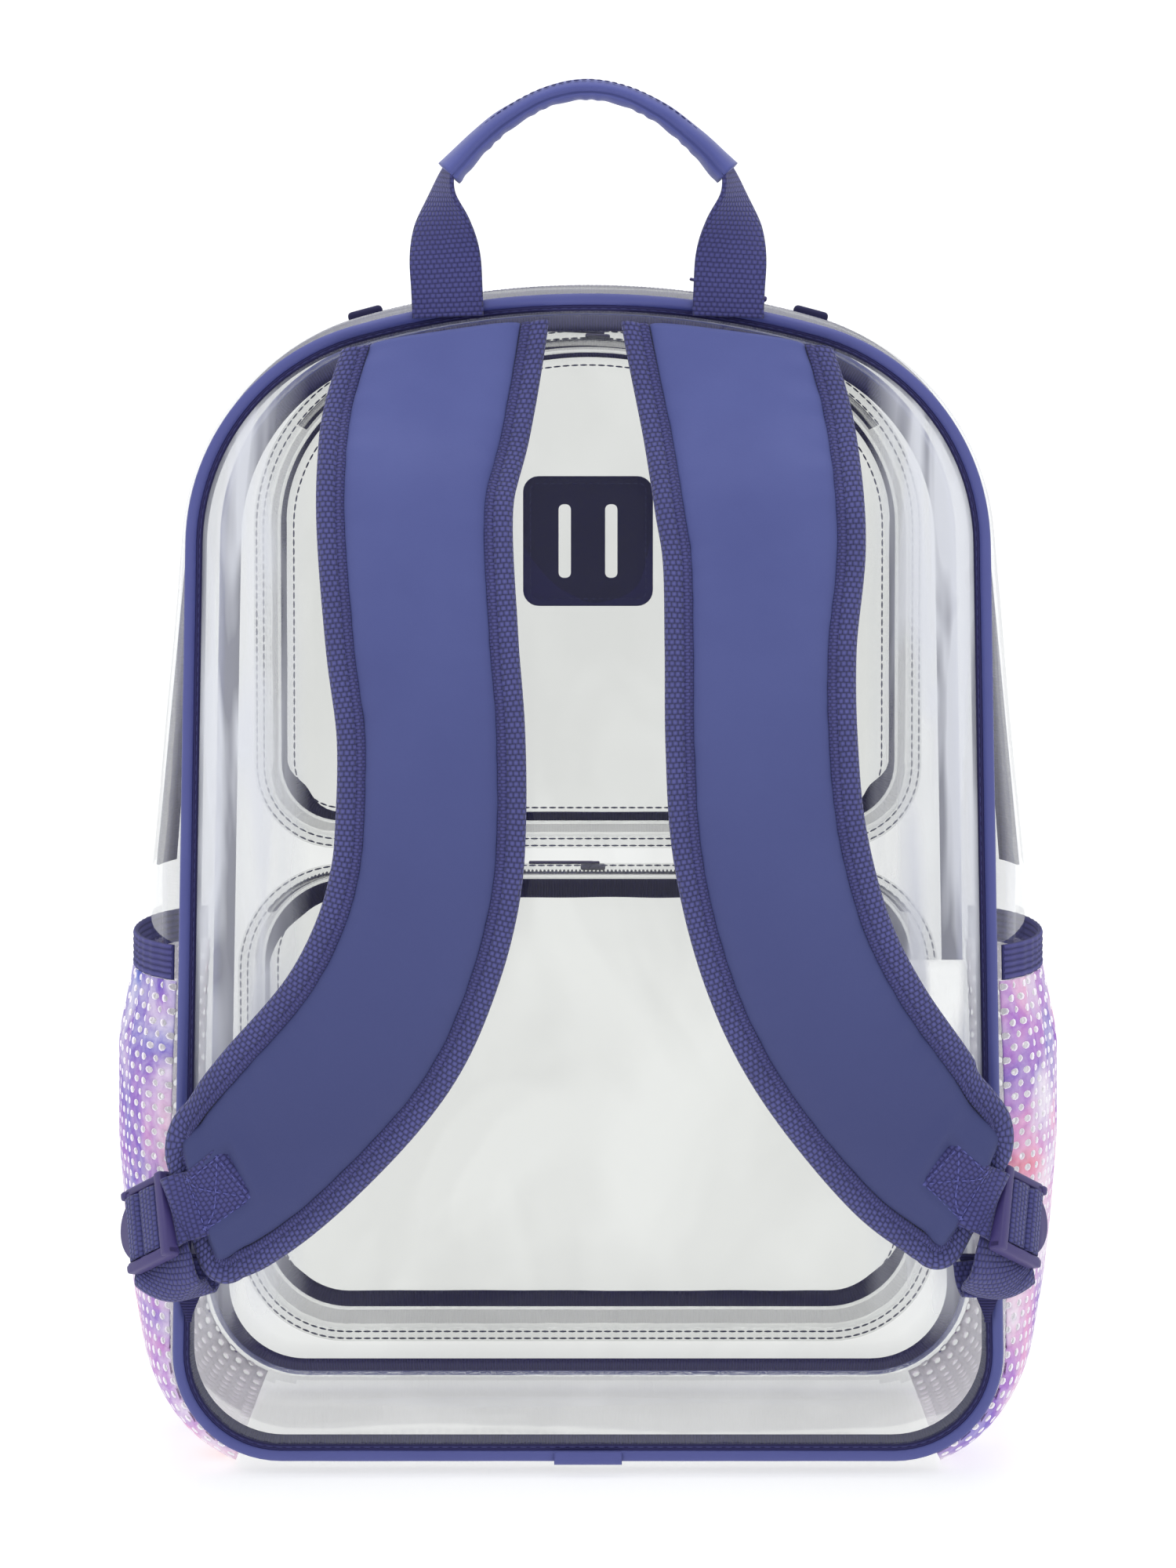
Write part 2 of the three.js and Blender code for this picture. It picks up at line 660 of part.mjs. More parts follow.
// Sections along a strap: its middle, its half width and the three directions there.
function strapSections(side, rows) {
  const middle = new THREE.CatmullRomCurve3(rows.map(({ across, up, lift }) => new THREE.Vector3(
    side * across * shoulderHalfWidth, panelFace - lift * strapLift, up * seamTop)), false, 'centripetal');
  const widths = new THREE.SplineCurve(rows.map(({ width }, i) => (
    new THREE.Vector2(i / (rows.length - 1), width * strapWidth / 2))));
  return (share) => {
    const point = middle.getPointAt(share);
    const along = middle.getTangentAt(share);
    const across = new THREE.Vector3(0, 1, 0).cross(along).normalize();
    const face = new THREE.Vector3().crossVectors(across, along).normalize();
    face.multiplyScalar(face.y > 0 ? -1 : 1);
    const atTop = topSkew * Math.max(0, 1 - share / skewReach);
    const fromEnd = Math.max(0, 1 - share - endStretch);
    const atEnd = endSkew * Math.max(0, 1 - fromEnd / endReach);
    across.addScaledVector(along, side * (atEnd - atTop));
    return { point, along, across, face, half: widths.getPoint(middle.getUtoTmapping(share)).y };
  };
}

function offsetFrom({ point, across, face }, aside, lift) {
  return point.clone().addScaledVector(across, aside).addScaledVector(face, lift);
}

// The padded middle, inside the rim binding, flat on its face with soft edges.
const padProfile = [
  { aside: 1, lift: 0.3 }, { aside: 0.82, lift: 0.88 }, { aside: 0.4, lift: 1 }, { aside: -0.4, lift: 1 },
  { aside: -0.82, lift: 0.88 }, { aside: -1, lift: 0.3 }, { aside: -1, lift: -0.3 },
  { aside: -0.6, lift: -0.75 }, { aside: 0.6, lift: -0.75 }, { aside: 1, lift: -0.3 },
];

function strapPad(sectionAt, length) {
  const rim = edgeWidth + softClear;
  const end = 1 - rim / length;
  const corner = strapEndRadius - rim;
  const straight = end - corner / length;
  const shares = Array.from({ length: strapSteps }, (_, i) => straight * i / (strapSteps - 1));
  const cornerSteps = [0.5, 0.85, 1];
  const rings = [...shares.map((share) => ({ share, cut: 0, flat: 1 })), ...cornerSteps.map((t) => ({
    share: end - corner / length * (1 - t),
    cut: corner * (1 - Math.sqrt(1 - t * t)),
    flat: 1 - t * 0.35,
  }))];
  return loft(rings.map(({ share, cut, flat }) => {
    const section = sectionAt(share);
    const half = section.half - rim - cut;
    const thick = flat * padThick / 2;
    return padProfile.map(({ aside, lift }) => offsetFrom(section, aside * half, lift * thick));
  }));
}

// The binding runs down one edge, round the end's corners and up the other edge.
function strapBinding(sectionAt, length) {
  const straight = 1 - strapEndRadius / length;
  const shares = Array.from({ length: strapSteps }, (_, i) => straight * i / (strapSteps - 1));
  const edge = (side) => shares.map((share) => {
    const section = sectionAt(share);
    const outward = section.across.clone().multiplyScalar(side);
    return { section, outward, aside: side * section.half, ahead: 0 };
  });
  const last = sectionAt(shares.at(-1));
  const end = [1, -1].flatMap((side) => {
    const turns = side > 0 ? [30, 60, 90] : [90, 60, 30];
    return turns.map((turn) => ({
      section: last,
      outward: last.across.clone().multiplyScalar(side * Math.cos(turn * degrees))
        .addScaledVector(last.along, Math.sin(turn * degrees)),
      aside: side * (last.half - strapEndRadius * (1 - Math.cos(turn * degrees)) - (turn === 90 ? 1 : 0)),
      ahead: strapEndRadius * Math.sin(turn * degrees),
    }));
  });
  const path = [...edge(1), ...end, ...edge(-1).reverse()];
  return loft(path.map(({ section, outward, aside, ahead }) => {
    const rim = offsetFrom(section, aside, 0).addScaledVector(section.along, ahead);
    const place = (inward, lift) => (
      rim.clone().addScaledVector(outward, -inward).addScaledVector(section.face, lift));
    const half = edgeThick / 2;
    return [place(0, half * 0.4), place(2, half), place(edgeWidth, half * 0.9),
      place(edgeWidth, -half * 0.9), place(2, -half), place(0, -half * 0.4)];
  }));
}

// A flat strip through sections, each with its middle, width direction and sizes.
function strip(rows) {
  return loft(rows.map(({ point, aside, wide, thick }, i) => {
    const next = rows[Math.min(i + 1, rows.length - 1)].point;
    const ahead = next.clone().sub(rows[Math.max(i - 1, 0)].point).normalize();
    const side = aside.clone().addScaledVector(ahead, -aside.dot(ahead)).normalize();
    const face = new THREE.Vector3().crossVectors(ahead, side);
    return [[1, 1], [-1, 1], [-1, -1], [1, -1]].map(([a, b]) => point.clone()
      .addScaledVector(side, a * wide / 2).addScaledVector(face, b * thick / 2));
  }));
}

// Buckle: a frame with two openings, a bar between them and a rounded tab on its outer side.
function buckleSolid() {
  const { length, width, bar, tabRadius, thick } = buckle;
  const shape = roundedShape(width, length, buckle.corner);
  const open = (width - 3 * bar) / 2;
  [-1, 1].forEach((side) => {
    const hole = roundedShape(open, length - 2 * bar, 1);
    const moved = hole.getPoints(2).map((p) => new THREE.Vector2(p.x + side * (open + bar) / 2, p.y));
    shape.holes.push(new THREE.Path(moved));
  });
  const tab = new THREE.Shape();
  tab.absarc((width - tabRadius) / 2 - 1, 0, tabRadius, -Math.PI / 3, Math.PI / 3, false);
  const frame = toManifold(plate(shape, thick, 2));
  const wing = toManifold(plate(tab, thick * 0.6, 6).translate(0, -thick * 0.2, 0));
  return fromManifold(frame.add(wing)).translate(0, thick / 2, 0);
}

// The buckle's short way and long way on the left strap. It hangs upright and faces outwards.
const buckleShort = new THREE.Vector3(-0.67, 0.61, -0.42).normalize();
const buckleLong = new THREE.Vector3(0.13, -0.46, -0.88).projectOnPlane(buckleShort).normalize();

// Places ahead of the strap's end, in shares of the webbing's width, and lifts off the strap's
// middle plane, in shares of the pad's thickness. The patch lies on the strap's face.
const patchRows = [
  { ahead: -1.46, lift: 0.615 }, { ahead: -0.58, lift: 0.615 },
  { ahead: -0.35, lift: 0.49 }, { ahead: -0.058, lift: 0.37 },
];
const buckleLift = 0.37;
const buckleRoom = 0.9;         // between its back and the webbing that leaves it

// The lower webbing leaves the buckle's back, hangs in a loop and curls up behind it to the tab.
// Places in shares of the webbing's width: inwards, outwards and down from where it starts, then
// in from the foot's side, off the tab and above the tab's top edge. turn is how far its width
// turns from the panel's plane.
const hangRows = [
  { inward: 0, outward: 0, down: 0, turn: 44.6 }, { inward: 0.127, outward: 0.16, down: 0.373, turn: 43 },
  { inward: 0.168, outward: 0.173, down: 0.77, turn: 30 },
  { inward: 0.187, outward: -0.027, down: 1.06, turn: 12 },
];
const tabRows = [
  { across: 0.077, off: 0.25, above: -0.577, turn: 0 }, { across: 0.154, off: 0.06, above: -0.385, turn: 0 },
  { across: 0.192, off: 0, above: -0.08, turn: 0 },
];
const webbingSteps = 15;

function addStrap(name, side, rows) {
  const sectionAt = strapSections(side, rows);
  const samples = Array.from({ length: 21 }, (_, i) => sectionAt(i / 20).point);
  const length = samples.slice(1).reduce((sum, point, i) => sum + point.distanceTo(samples[i]), 0);
  add(`strap_pad_${name}`, strapPad(sectionAt, length), strapBlue);
  add(`strap_binding_${name}`, strapBinding(sectionAt, length), navy);
  const end = sectionAt(1);
  const from = ({ ahead, lift }) => {
    const section = sectionAt(Math.min(1, 1 + ahead * webWidth / length));
    const beyond = Math.max(0, ahead * webWidth);
    return offsetFrom(section, 0, lift * padThick).addScaledVector(section.along, beyond);
  };
  const webRow = (row) => ({ point: from(row), aside: end.across, wide: webWidth, thick: webbing });
  add(`strap_patch_${name}`, strip(patchRows.map(webRow)), navy);
  const solid = add(`buckle_${name}`, buckleSolid(), plasticNavy);
  const mirror = new THREE.Vector3(-side, 1, 1);
  const [short, long] = [buckleShort.clone().multiply(mirror), buckleLong.clone().multiply(mirror)];
  const face = new THREE.Vector3().crossVectors(short, long).multiplyScalar(-side);
  const back = face.clone().negate();
  solid.applyMatrix4(new THREE.Matrix4().makeBasis(short, back, short.clone().cross(back)));
  solid.position.copy(end.point).addScaledVector(short, buckle.width / 2 + clear)
    .addScaledVector(face, buckleLift * padThick);
  const behind = buckle.thick / 2 + buckleRoom + webbing / 2;
  const start = solid.position.clone().addScaledVector(face, -behind)
    .addScaledVector(short, (webWidth - buckle.width) / 2);
  add(`lower_webbing_${name}`, lowerWebbing(side, start), navy);
  add(`corner_tab_${name}`, cornerTabSolid(side), navy);
}

function tabPlace(side, across, above, y) {
  return new THREE.Vector3(side * (footHalfWidth - across), y, cornerTab.z + above);
}

function lowerWebbing(side, start) {
  const y = panelFace - cordRadius - cornerTab.thick - 2 * clear - webbing / 2;
  const places = [
    ...hangRows.map(({ inward, outward, down }) => (
      new THREE.Vector3(-side * inward, -outward, -down).multiplyScalar(webWidth).add(start))),
    ...tabRows.map(({ across, off, above }) => (
      tabPlace(side, across * webWidth, above * webWidth, y - off * webWidth))),
  ];
  const rows = [...hangRows, ...tabRows].map(({ turn }, i) => ({
    point: places[i],
    aside: new THREE.Vector3(side * Math.cos(turn * degrees), Math.sin(turn * degrees), 0),
  }));
  const middle = new THREE.CatmullRomCurve3(rows.map(({ point }) => point), false, 'centripetal');
  return strip(Array.from({ length: webbingSteps + 1 }, (_, i) => {
    const place = i / webbingSteps * (rows.length - 1);
    const row = Math.min(Math.floor(place), rows.length - 2);
    const aside = rows[row].aside.clone().lerp(rows[row + 1].aside, place - row);
    return { point: middle.getPoint(i / webbingSteps), aside, wide: webWidth, thick: webbing };
  }));
}

// A stitched triangle that spreads the pull of the webbing along the seam.
function cornerTabSolid(side) {
  const { width, height, thick, below } = cornerTab;
  const y = panelFace - cordRadius - clear;
  const middle = tabRows.at(-1).across * webWidth;
  const ring = (depth) => [
    tabPlace(side, middle - width / 2, -below, depth), tabPlace(side, middle + width / 2, -below, depth),
    tabPlace(side, middle, -height, depth),
  ];
  return loft([ring(y), ring(y - thick)]);
}

// Handle: webbing legs that turn edge-on as they rise into the sleeve. Rows give the middle, across
// in shares of the handle's half span and above the crown's seam in shares of its rise, with the
// width and thickness in shares of the webbing's own.
const legRows = [
  { across: 0.962, above: -0.0855, wide: 1, thick: 1, turn: 0 },
  { across: 0.981, above: 0.184, wide: 1, thick: 1, turn: 0 },
  { across: 1, above: 0.355, wide: 0.885, thick: 1.33, turn: 35 },
  { across: 1.0075, above: 0.5, wide: 0.69, thick: 2, turn: 75 },
  { across: 0.962, above: 0.587, wide: 0.654, thick: 2, turn: 85 },
];

const sleeveRows = [
  { across: -0.953, above: 0.599 }, { across: -0.736, above: 0.757 }, { across: -0.528, above: 0.875 },
  { across: -0.264, above: 0.967 }, { across: 0, above: 1 }, { across: 0.264, above: 0.967 },
  { across: 0.528, above: 0.875 }, { across: 0.736, above: 0.757 }, { across: 0.953, above: 0.599 },
];
const sleeveSteps = 13;
const sleeveSides = 8;

function handle() {
  const y = panelFace - handleForward;
  [['left', -1], ['right', 1]].forEach(([name, side]) => {
    add(`handle_webbing_${name}`, strip(legRows.map(({ across, above, wide, thick, turn }) => ({
      point: new THREE.Vector3(side * across * handleHalfSpan, y, seamTop + above * handleRise),
      aside: new THREE.Vector3(Math.cos(turn * degrees), side * Math.sin(turn * degrees), 0),
      wide: wide * webWidth,
      thick: thick * webbing,
    }))), navy);
  });
  const middle = new THREE.CatmullRomCurve3(sleeveRows.map(({ across, above }) => (
    new THREE.Vector3(across * handleHalfSpan, y, seamTop + above * handleRise))), false, 'centripetal');
  const toCorner = 1 / (2 * Math.cos(Math.PI / sleeveSides));
  const rings = Array.from({ length: sleeveSteps + 1 }, (_, i) => {
    const point = middle.getPoint(i / sleeveSteps);
    const along = middle.getTangent(i / sleeveSteps);
    const up = new THREE.Vector3(0, -1, 0).cross(along).normalize();
    return Array.from({ length: sleeveSides }, (__, k) => {
      const angle = (2 * k + 1) * Math.PI / sleeveSides;
      return point.clone().addScaledVector(up, Math.sin(angle) * sleeveHeight * toCorner)
        .add(new THREE.Vector3(0, Math.cos(angle) * sleeveDepth * toCorner, 0));
    });
  });
  add('handle_sleeve', loft(rings), strapBlue);
}

add('gusset', gusset(), clearSheet);
add('back_panel', panel(seam, cordRadius + clear, backY - sheet, sheet), clearSheet);
add('front_panel', panel(seam, cordRadius + clear, frontY, sheet), clearSheet);
add('back_piping', piping(-1), navy);
add('front_piping', piping(1), navy);
add('piping_joint', pipingJoint(), navy);
add('back_seam_binding', seamBinding(-1), darkNavy);
add('front_seam_binding', seamBinding(1), darkNavy);
mainZip();
add('zip_tab_left', topTab(-1), darkNavy);
add('zip_tab_right', topTab(1), darkNavy);
frontPockets();
lashPatch();
careLabel();
[['left', -1], ['right', 1]].forEach(([name, side]) => {
  add(`side_pocket_${name}`, sidePocket(side), printed);
  add(`pocket_elastic_${name}`, elasticBand(side), navy);
});
addStrap('left', -1, leftStrapRows);
addStrap('right', 1, rightStrapRows);
handle();

export default bag;
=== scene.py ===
"""A clear backpack with padded arm straps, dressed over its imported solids.

Lengths are metres, +Z is up, and the panel with the straps faces -Y.
"""
import logging
import math
from dataclasses import dataclass, field
from enum import Enum
from typing import Iterable, Sequence

import bmesh
import bpy
import numpy as np
from mathutils import Matrix, Vector, noise


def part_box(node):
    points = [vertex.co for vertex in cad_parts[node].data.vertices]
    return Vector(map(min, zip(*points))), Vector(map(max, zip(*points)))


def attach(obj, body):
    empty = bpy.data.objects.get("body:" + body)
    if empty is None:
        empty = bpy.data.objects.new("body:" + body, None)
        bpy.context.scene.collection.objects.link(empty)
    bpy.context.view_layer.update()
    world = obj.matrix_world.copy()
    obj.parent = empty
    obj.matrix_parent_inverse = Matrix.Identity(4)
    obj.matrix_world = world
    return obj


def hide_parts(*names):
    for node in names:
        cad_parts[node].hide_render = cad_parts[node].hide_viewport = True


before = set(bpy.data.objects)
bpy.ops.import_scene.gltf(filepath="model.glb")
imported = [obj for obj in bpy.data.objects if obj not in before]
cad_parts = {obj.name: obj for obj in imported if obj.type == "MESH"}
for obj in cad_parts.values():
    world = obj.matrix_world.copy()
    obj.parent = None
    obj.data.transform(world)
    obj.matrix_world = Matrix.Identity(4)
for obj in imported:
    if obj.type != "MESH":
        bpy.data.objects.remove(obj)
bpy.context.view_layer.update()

LOG = logging.getLogger("backpack")
BODY = "root"
Colour = tuple[float, float, float]
SEWN = 0.0036  # the distance between stitches in the seams


def srgb(red: int, green: int, blue: int) -> Colour:
    """Turns an 8-bit screen colour into the linear one that shaders use."""
    return tuple(((c / 255 + 0.055) / 1.055) ** 2.4 if c > 10 else c / 3295 for c in (red, green, blue))


# Node helpers


class NodeTree:
    """A short way to build a shader or geometry tree: make nodes, and link by socket name."""

    def __init__(self, tree: bpy.types.NodeTree) -> None:
        """Keeps the tree that the nodes go into."""
        self.tree = tree

    def make(self, kind: str, **settings: object) -> bpy.types.Node:
        """Adds a node.

        Args:
            kind: the node's type name.
            settings: attributes of the node, or values of inputs by name, with _ for a space.

        Returns:
            The new node.
        """
        node = self.tree.nodes.new(kind)
        for name, value in settings.items():
            if hasattr(node, name):
                setattr(node, name, value)
            else:
                self.put(node, name.replace("_", " "), value)
        return node

    def put(self, node: bpy.types.Node, name: str | int, value: object) -> None:
        """Sets an input to a value, or links it where the value is a socket."""
        socket = node.inputs[name]
        if isinstance(value, bpy.types.NodeSocket):
            self.tree.links.new(value, socket)
        elif isinstance(value, tuple) and socket.type == "RGBA" and len(value) == 3:
            socket.default_value = (*value, 1.0)
        else:
            socket.default_value = value

    def math(self, operation: str, *values: object, clamp: bool = False) -> bpy.types.NodeSocket:
        """Adds a Math node on numbers or sockets and returns its result."""
        node = self.tree.nodes.new("ShaderNodeMath")
        node.operation = operation
        node.use_clamp = clamp
        for i, value in enumerate(values):
            self.put(node, i, value)
        return node.outputs[0]

    def mix(self, factor: object, first: object, second: object) -> bpy.types.NodeSocket:
        """Mixes two colours and returns the result."""
        node = self.tree.nodes.new("ShaderNodeMix")
        node.data_type = "RGBA"
        for index, value in ((0, factor), (6, first), (7, second)):
            self.put(node, index, value)
        return node.outputs[2]

    def blend(self, share: object, first: bpy.types.Node, second: bpy.types.Node) -> bpy.types.Node:
        """Mixes two shaders and returns the Mix Shader node."""
        node = self.make("ShaderNodeMixShader")
        for index, value in ((0, share), (1, first.outputs[0]), (2, second.outputs[0])):
            self.put(node, index, value)
        return node

    def noise(self, vector: bpy.types.NodeSocket, scale: float, detail: float = 2.0,
              roughness: float = 0.5, distortion: float = 0.0) -> bpy.types.NodeSocket:
        """Adds a Noise texture and returns its value."""
        node = self.make("ShaderNodeTexNoise", Vector=vector, Scale=scale, Detail=detail)
        node.inputs["Roughness"].default_value = roughness
        node.inputs["Distortion"].default_value = distortion
        return node.outputs[0]

    def ramp(self, value: bpy.types.NodeSocket,
             stops: Sequence[tuple[float, Colour]]) -> bpy.types.NodeSocket:
        """Adds a colour ramp with the given stops and returns its colour."""
        node = self.make("ShaderNodeValToRGB")
        elements = node.color_ramp.elements
        while len(elements) < len(stops):
            elements.new(0.5)
        for element, (place, colour) in zip(elements, stops):
            element.position = place
            element.color = (*colour, 1.0)
        self.put(node, 0, value)
        return node.outputs[0]

    def coordinates(self, kind: str = "Object") -> bpy.types.NodeSocket:
        """Returns the piece's Object coordinates, or its UV in metres."""
        return self.make("ShaderNodeTexCoord").outputs[kind]

    def bump(self, height: bpy.types.NodeSocket, distance: float,
             strength: float = 1.0) -> bpy.types.NodeSocket:
        """Adds a Bump node and returns its normal."""
        return self.make("ShaderNodeBump", Height=height, Distance=distance, Strength=strength).outputs[0]

    def cover(self, output: bpy.types.Node, colour: object, roughness: object,
              normal: bpy.types.NodeSocket) -> bpy.types.Node:
        """Adds a Principled shader with a normal, links it to the output and returns it."""
        shader = self.make("ShaderNodeBsdfPrincipled", Base_Color=colour, Roughness=roughness, Normal=normal)
        self.put(output, 0, shader.outputs[0])
        return shader


def new_material(name: str) -> tuple[bpy.types.Material, NodeTree, bpy.types.Node]:
    """Makes an empty node material.

    Args:
        name: the finish's name.

    Returns:
        The material, its tree and its output node.
    """
    material = bpy.data.materials.new(name)
    material.use_nodes = True
    material.node_tree.nodes.clear()
    tree = NodeTree(material.node_tree)
    return material, tree, tree.make("ShaderNodeOutputMaterial")


# Finishes


@dataclass(frozen=True)
class Weave:
    """A woven band: rows of raised nubs, in metres along and across its UV map."""

    name: str
    light: Colour
    dark: Colour
    along: float = 0.0016
    across: float = 0.0012
    depth: float = 0.00035
    stagger: float = 0.5
    roughness: float = 0.75

    def build(self) -> bpy.types.Material:
        """Builds the material."""
        material, tree, output = new_material(self.name)
        split = tree.make("ShaderNodeSeparateXYZ", Vector=tree.coordinates("UV"))
        wobble = tree.noise(tree.coordinates("UV"), 260.0)
        u = tree.math("DIVIDE", split.outputs[0], self.along)
        u = tree.math("ADD", u, tree.math("MULTIPLY", wobble, 0.35))
        row = tree.math("FLOOR", u)
        shift = tree.math("MULTIPLY", tree.math("MODULO", row, 2.0), self.stagger)
        v = tree.math("ADD", tree.math("DIVIDE", split.outputs[1], self.across), shift)
        height = tree.math("MULTIPLY", self.lobe(tree, u), self.lobe(tree, v))
        height = tree.math("POWER", height, 0.6)
        patch = tree.noise(tree.coordinates(), 60.0)
        fuzz = tree.noise(tree.coordinates("UV"), 2500.0)
        # Painted shade: the colour darkens from the nubs' tops into the hollows between them; the patch noise
        # adds random tone.
        shade = tree.math("MULTIPLY", height, tree.math("MULTIPLY_ADD", patch, 0.5, 0.75), clamp=True)
        colour = tree.mix(shade, self.dark, self.light)
        height = tree.math("MULTIPLY_ADD", fuzz, 0.15, height)
        shader = tree.cover(output, colour, self.roughness, tree.bump(height, self.depth))
        shader.inputs["Sheen Weight"].default_value = 0.15
        return material

    @staticmethod
    def lobe(tree: NodeTree, value: bpy.types.NodeSocket) -> bpy.types.NodeSocket:
        """Returns 1 at the middle of each unit of value and 0 at its ends."""
        away = tree.math("SUBTRACT", tree.math("FRACT", value), 0.5)
        square = tree.math("MULTIPLY", tree.math("MULTIPLY", away, away), 4.0)
        return tree.math("SUBTRACT", 1.0, square, clamp=True)


@dataclass(frozen=True)
class Fabric:
    """A smooth close-woven cloth with a fine grain and soft shading.

    deep, where it is under 1, darkens it towards the floor: painted shade where less light falls. thin is the
    share of light that comes through it, and glow brightens it with an emission: painted light, for the cloth
    is no lamp.
    """

    name: str
    colour: Colour
    shade: Colour
    grain: float = 1700.0
    roughness: float = 0.6
    sheen: float = 0.25
    deep: float = 1.0
    thin: float = 0.0
    painted_glow: float = 0.0

    def build(self) -> bpy.types.Material:
        """Builds the material."""
        material, tree, output = new_material(self.name)
        place = tree.coordinates()
        cloud = tree.noise(place, 22.0, 3.0)
        colour = tree.mix(tree.math("MULTIPLY_ADD", cloud, 1.6, -0.35, clamp=True), self.shade, self.colour)
        # Painted shade: the colour darkens towards the floor, as light from above would shade it.
        if self.deep < 1:
            height = tree.make("ShaderNodeSeparateXYZ", Vector=place).outputs[2]
            low = tree.math("MULTIPLY_ADD", height, -3.8, 1.5, clamp=True)
            colour = tree.mix(low, colour, tuple(v * self.deep for v in self.shade))
        thread = tree.noise(place, self.grain, 2.0)
        uneven = tree.noise(place, 180.0, 2.0)
        height = tree.math("MULTIPLY_ADD", uneven, 0.6, thread)
        rough = tree.math("MULTIPLY_ADD", thread, 0.15, self.roughness - 0.07)
        shader = tree.cover(output, colour, rough, tree.bump(height, 0.00012, 0.7))
        shader.inputs["Sheen Weight"].default_value = self.sheen
        shader.inputs["Specular IOR Level"].default_value = 0.3
        # Painted light: the emission makes the cloth glow although it is no lamp.
        shader.inputs["Emission Color"].default_value = (*self.colour, 1.0)
        shader.inputs["Emission Strength"].default_value = self.painted_glow
        if self.thin:
            through = tree.make("ShaderNodeBsdfTranslucent", Color=self.colour)
            tree.put(output, 0, tree.blend(self.thin, shader, through).outputs[0])
        return material


@dataclass(frozen=True)
class Smooth:
    """A moulded or coated surface with faint grain."""

    name: str
    colour: Colour
    worn: Colour
    roughness: float = 0.4
    grain: float = 900.0
    depth: float = 0.00004

    def build(self) -> bpy.types.Material:
        """Builds the material."""
        material, tree, output = new_material(self.name)
        place = tree.coordinates()
        cloud = tree.noise(place, 40.0, 4.0)
        grain = tree.noise(place, self.grain, 2.0)
        colour = tree.mix(tree.math("MULTIPLY", cloud, 0.6), self.colour, self.worn)
        rough = tree.math("MULTIPLY_ADD", cloud, 0.16, self.roughness - 0.08)
        tree.cover(output, colour, rough, tree.bump(grain, self.depth))
        return material


@dataclass(frozen=True)
class Ribbed:
    """Grosgrain tape or elastic: fine ribs along one direction of the UV map."""

    name: str
    light: Colour
    dark: Colour
    pitch: float = 0.0011
    lengthwise: bool = False
    depth: float = 0.00025

    def build(self) -> bpy.types.Material:
        """Builds the material."""
        material, tree, output = new_material(self.name)
        split = tree.make("ShaderNodeSeparateXYZ", Vector=tree.coordinates("UV"))
        value = tree.math("DIVIDE", split.outputs[1 if self.lengthwise else 0], self.pitch)
        height = Weave.lobe(tree, value)
        thread = tree.noise(tree.coordinates("UV"), 1500.0)
        height = tree.math("MULTIPLY_ADD", thread, 0.35, height)
        # Painted shade: the colour darkens in the grooves between the ribs; the thread noise adds random
        # tone.
        colour = tree.mix(tree.math("MULTIPLY", height, 0.8, clamp=True), self.dark, self.light)
        tree.cover(output, colour, 0.8, tree.bump(height, self.depth))
        return material


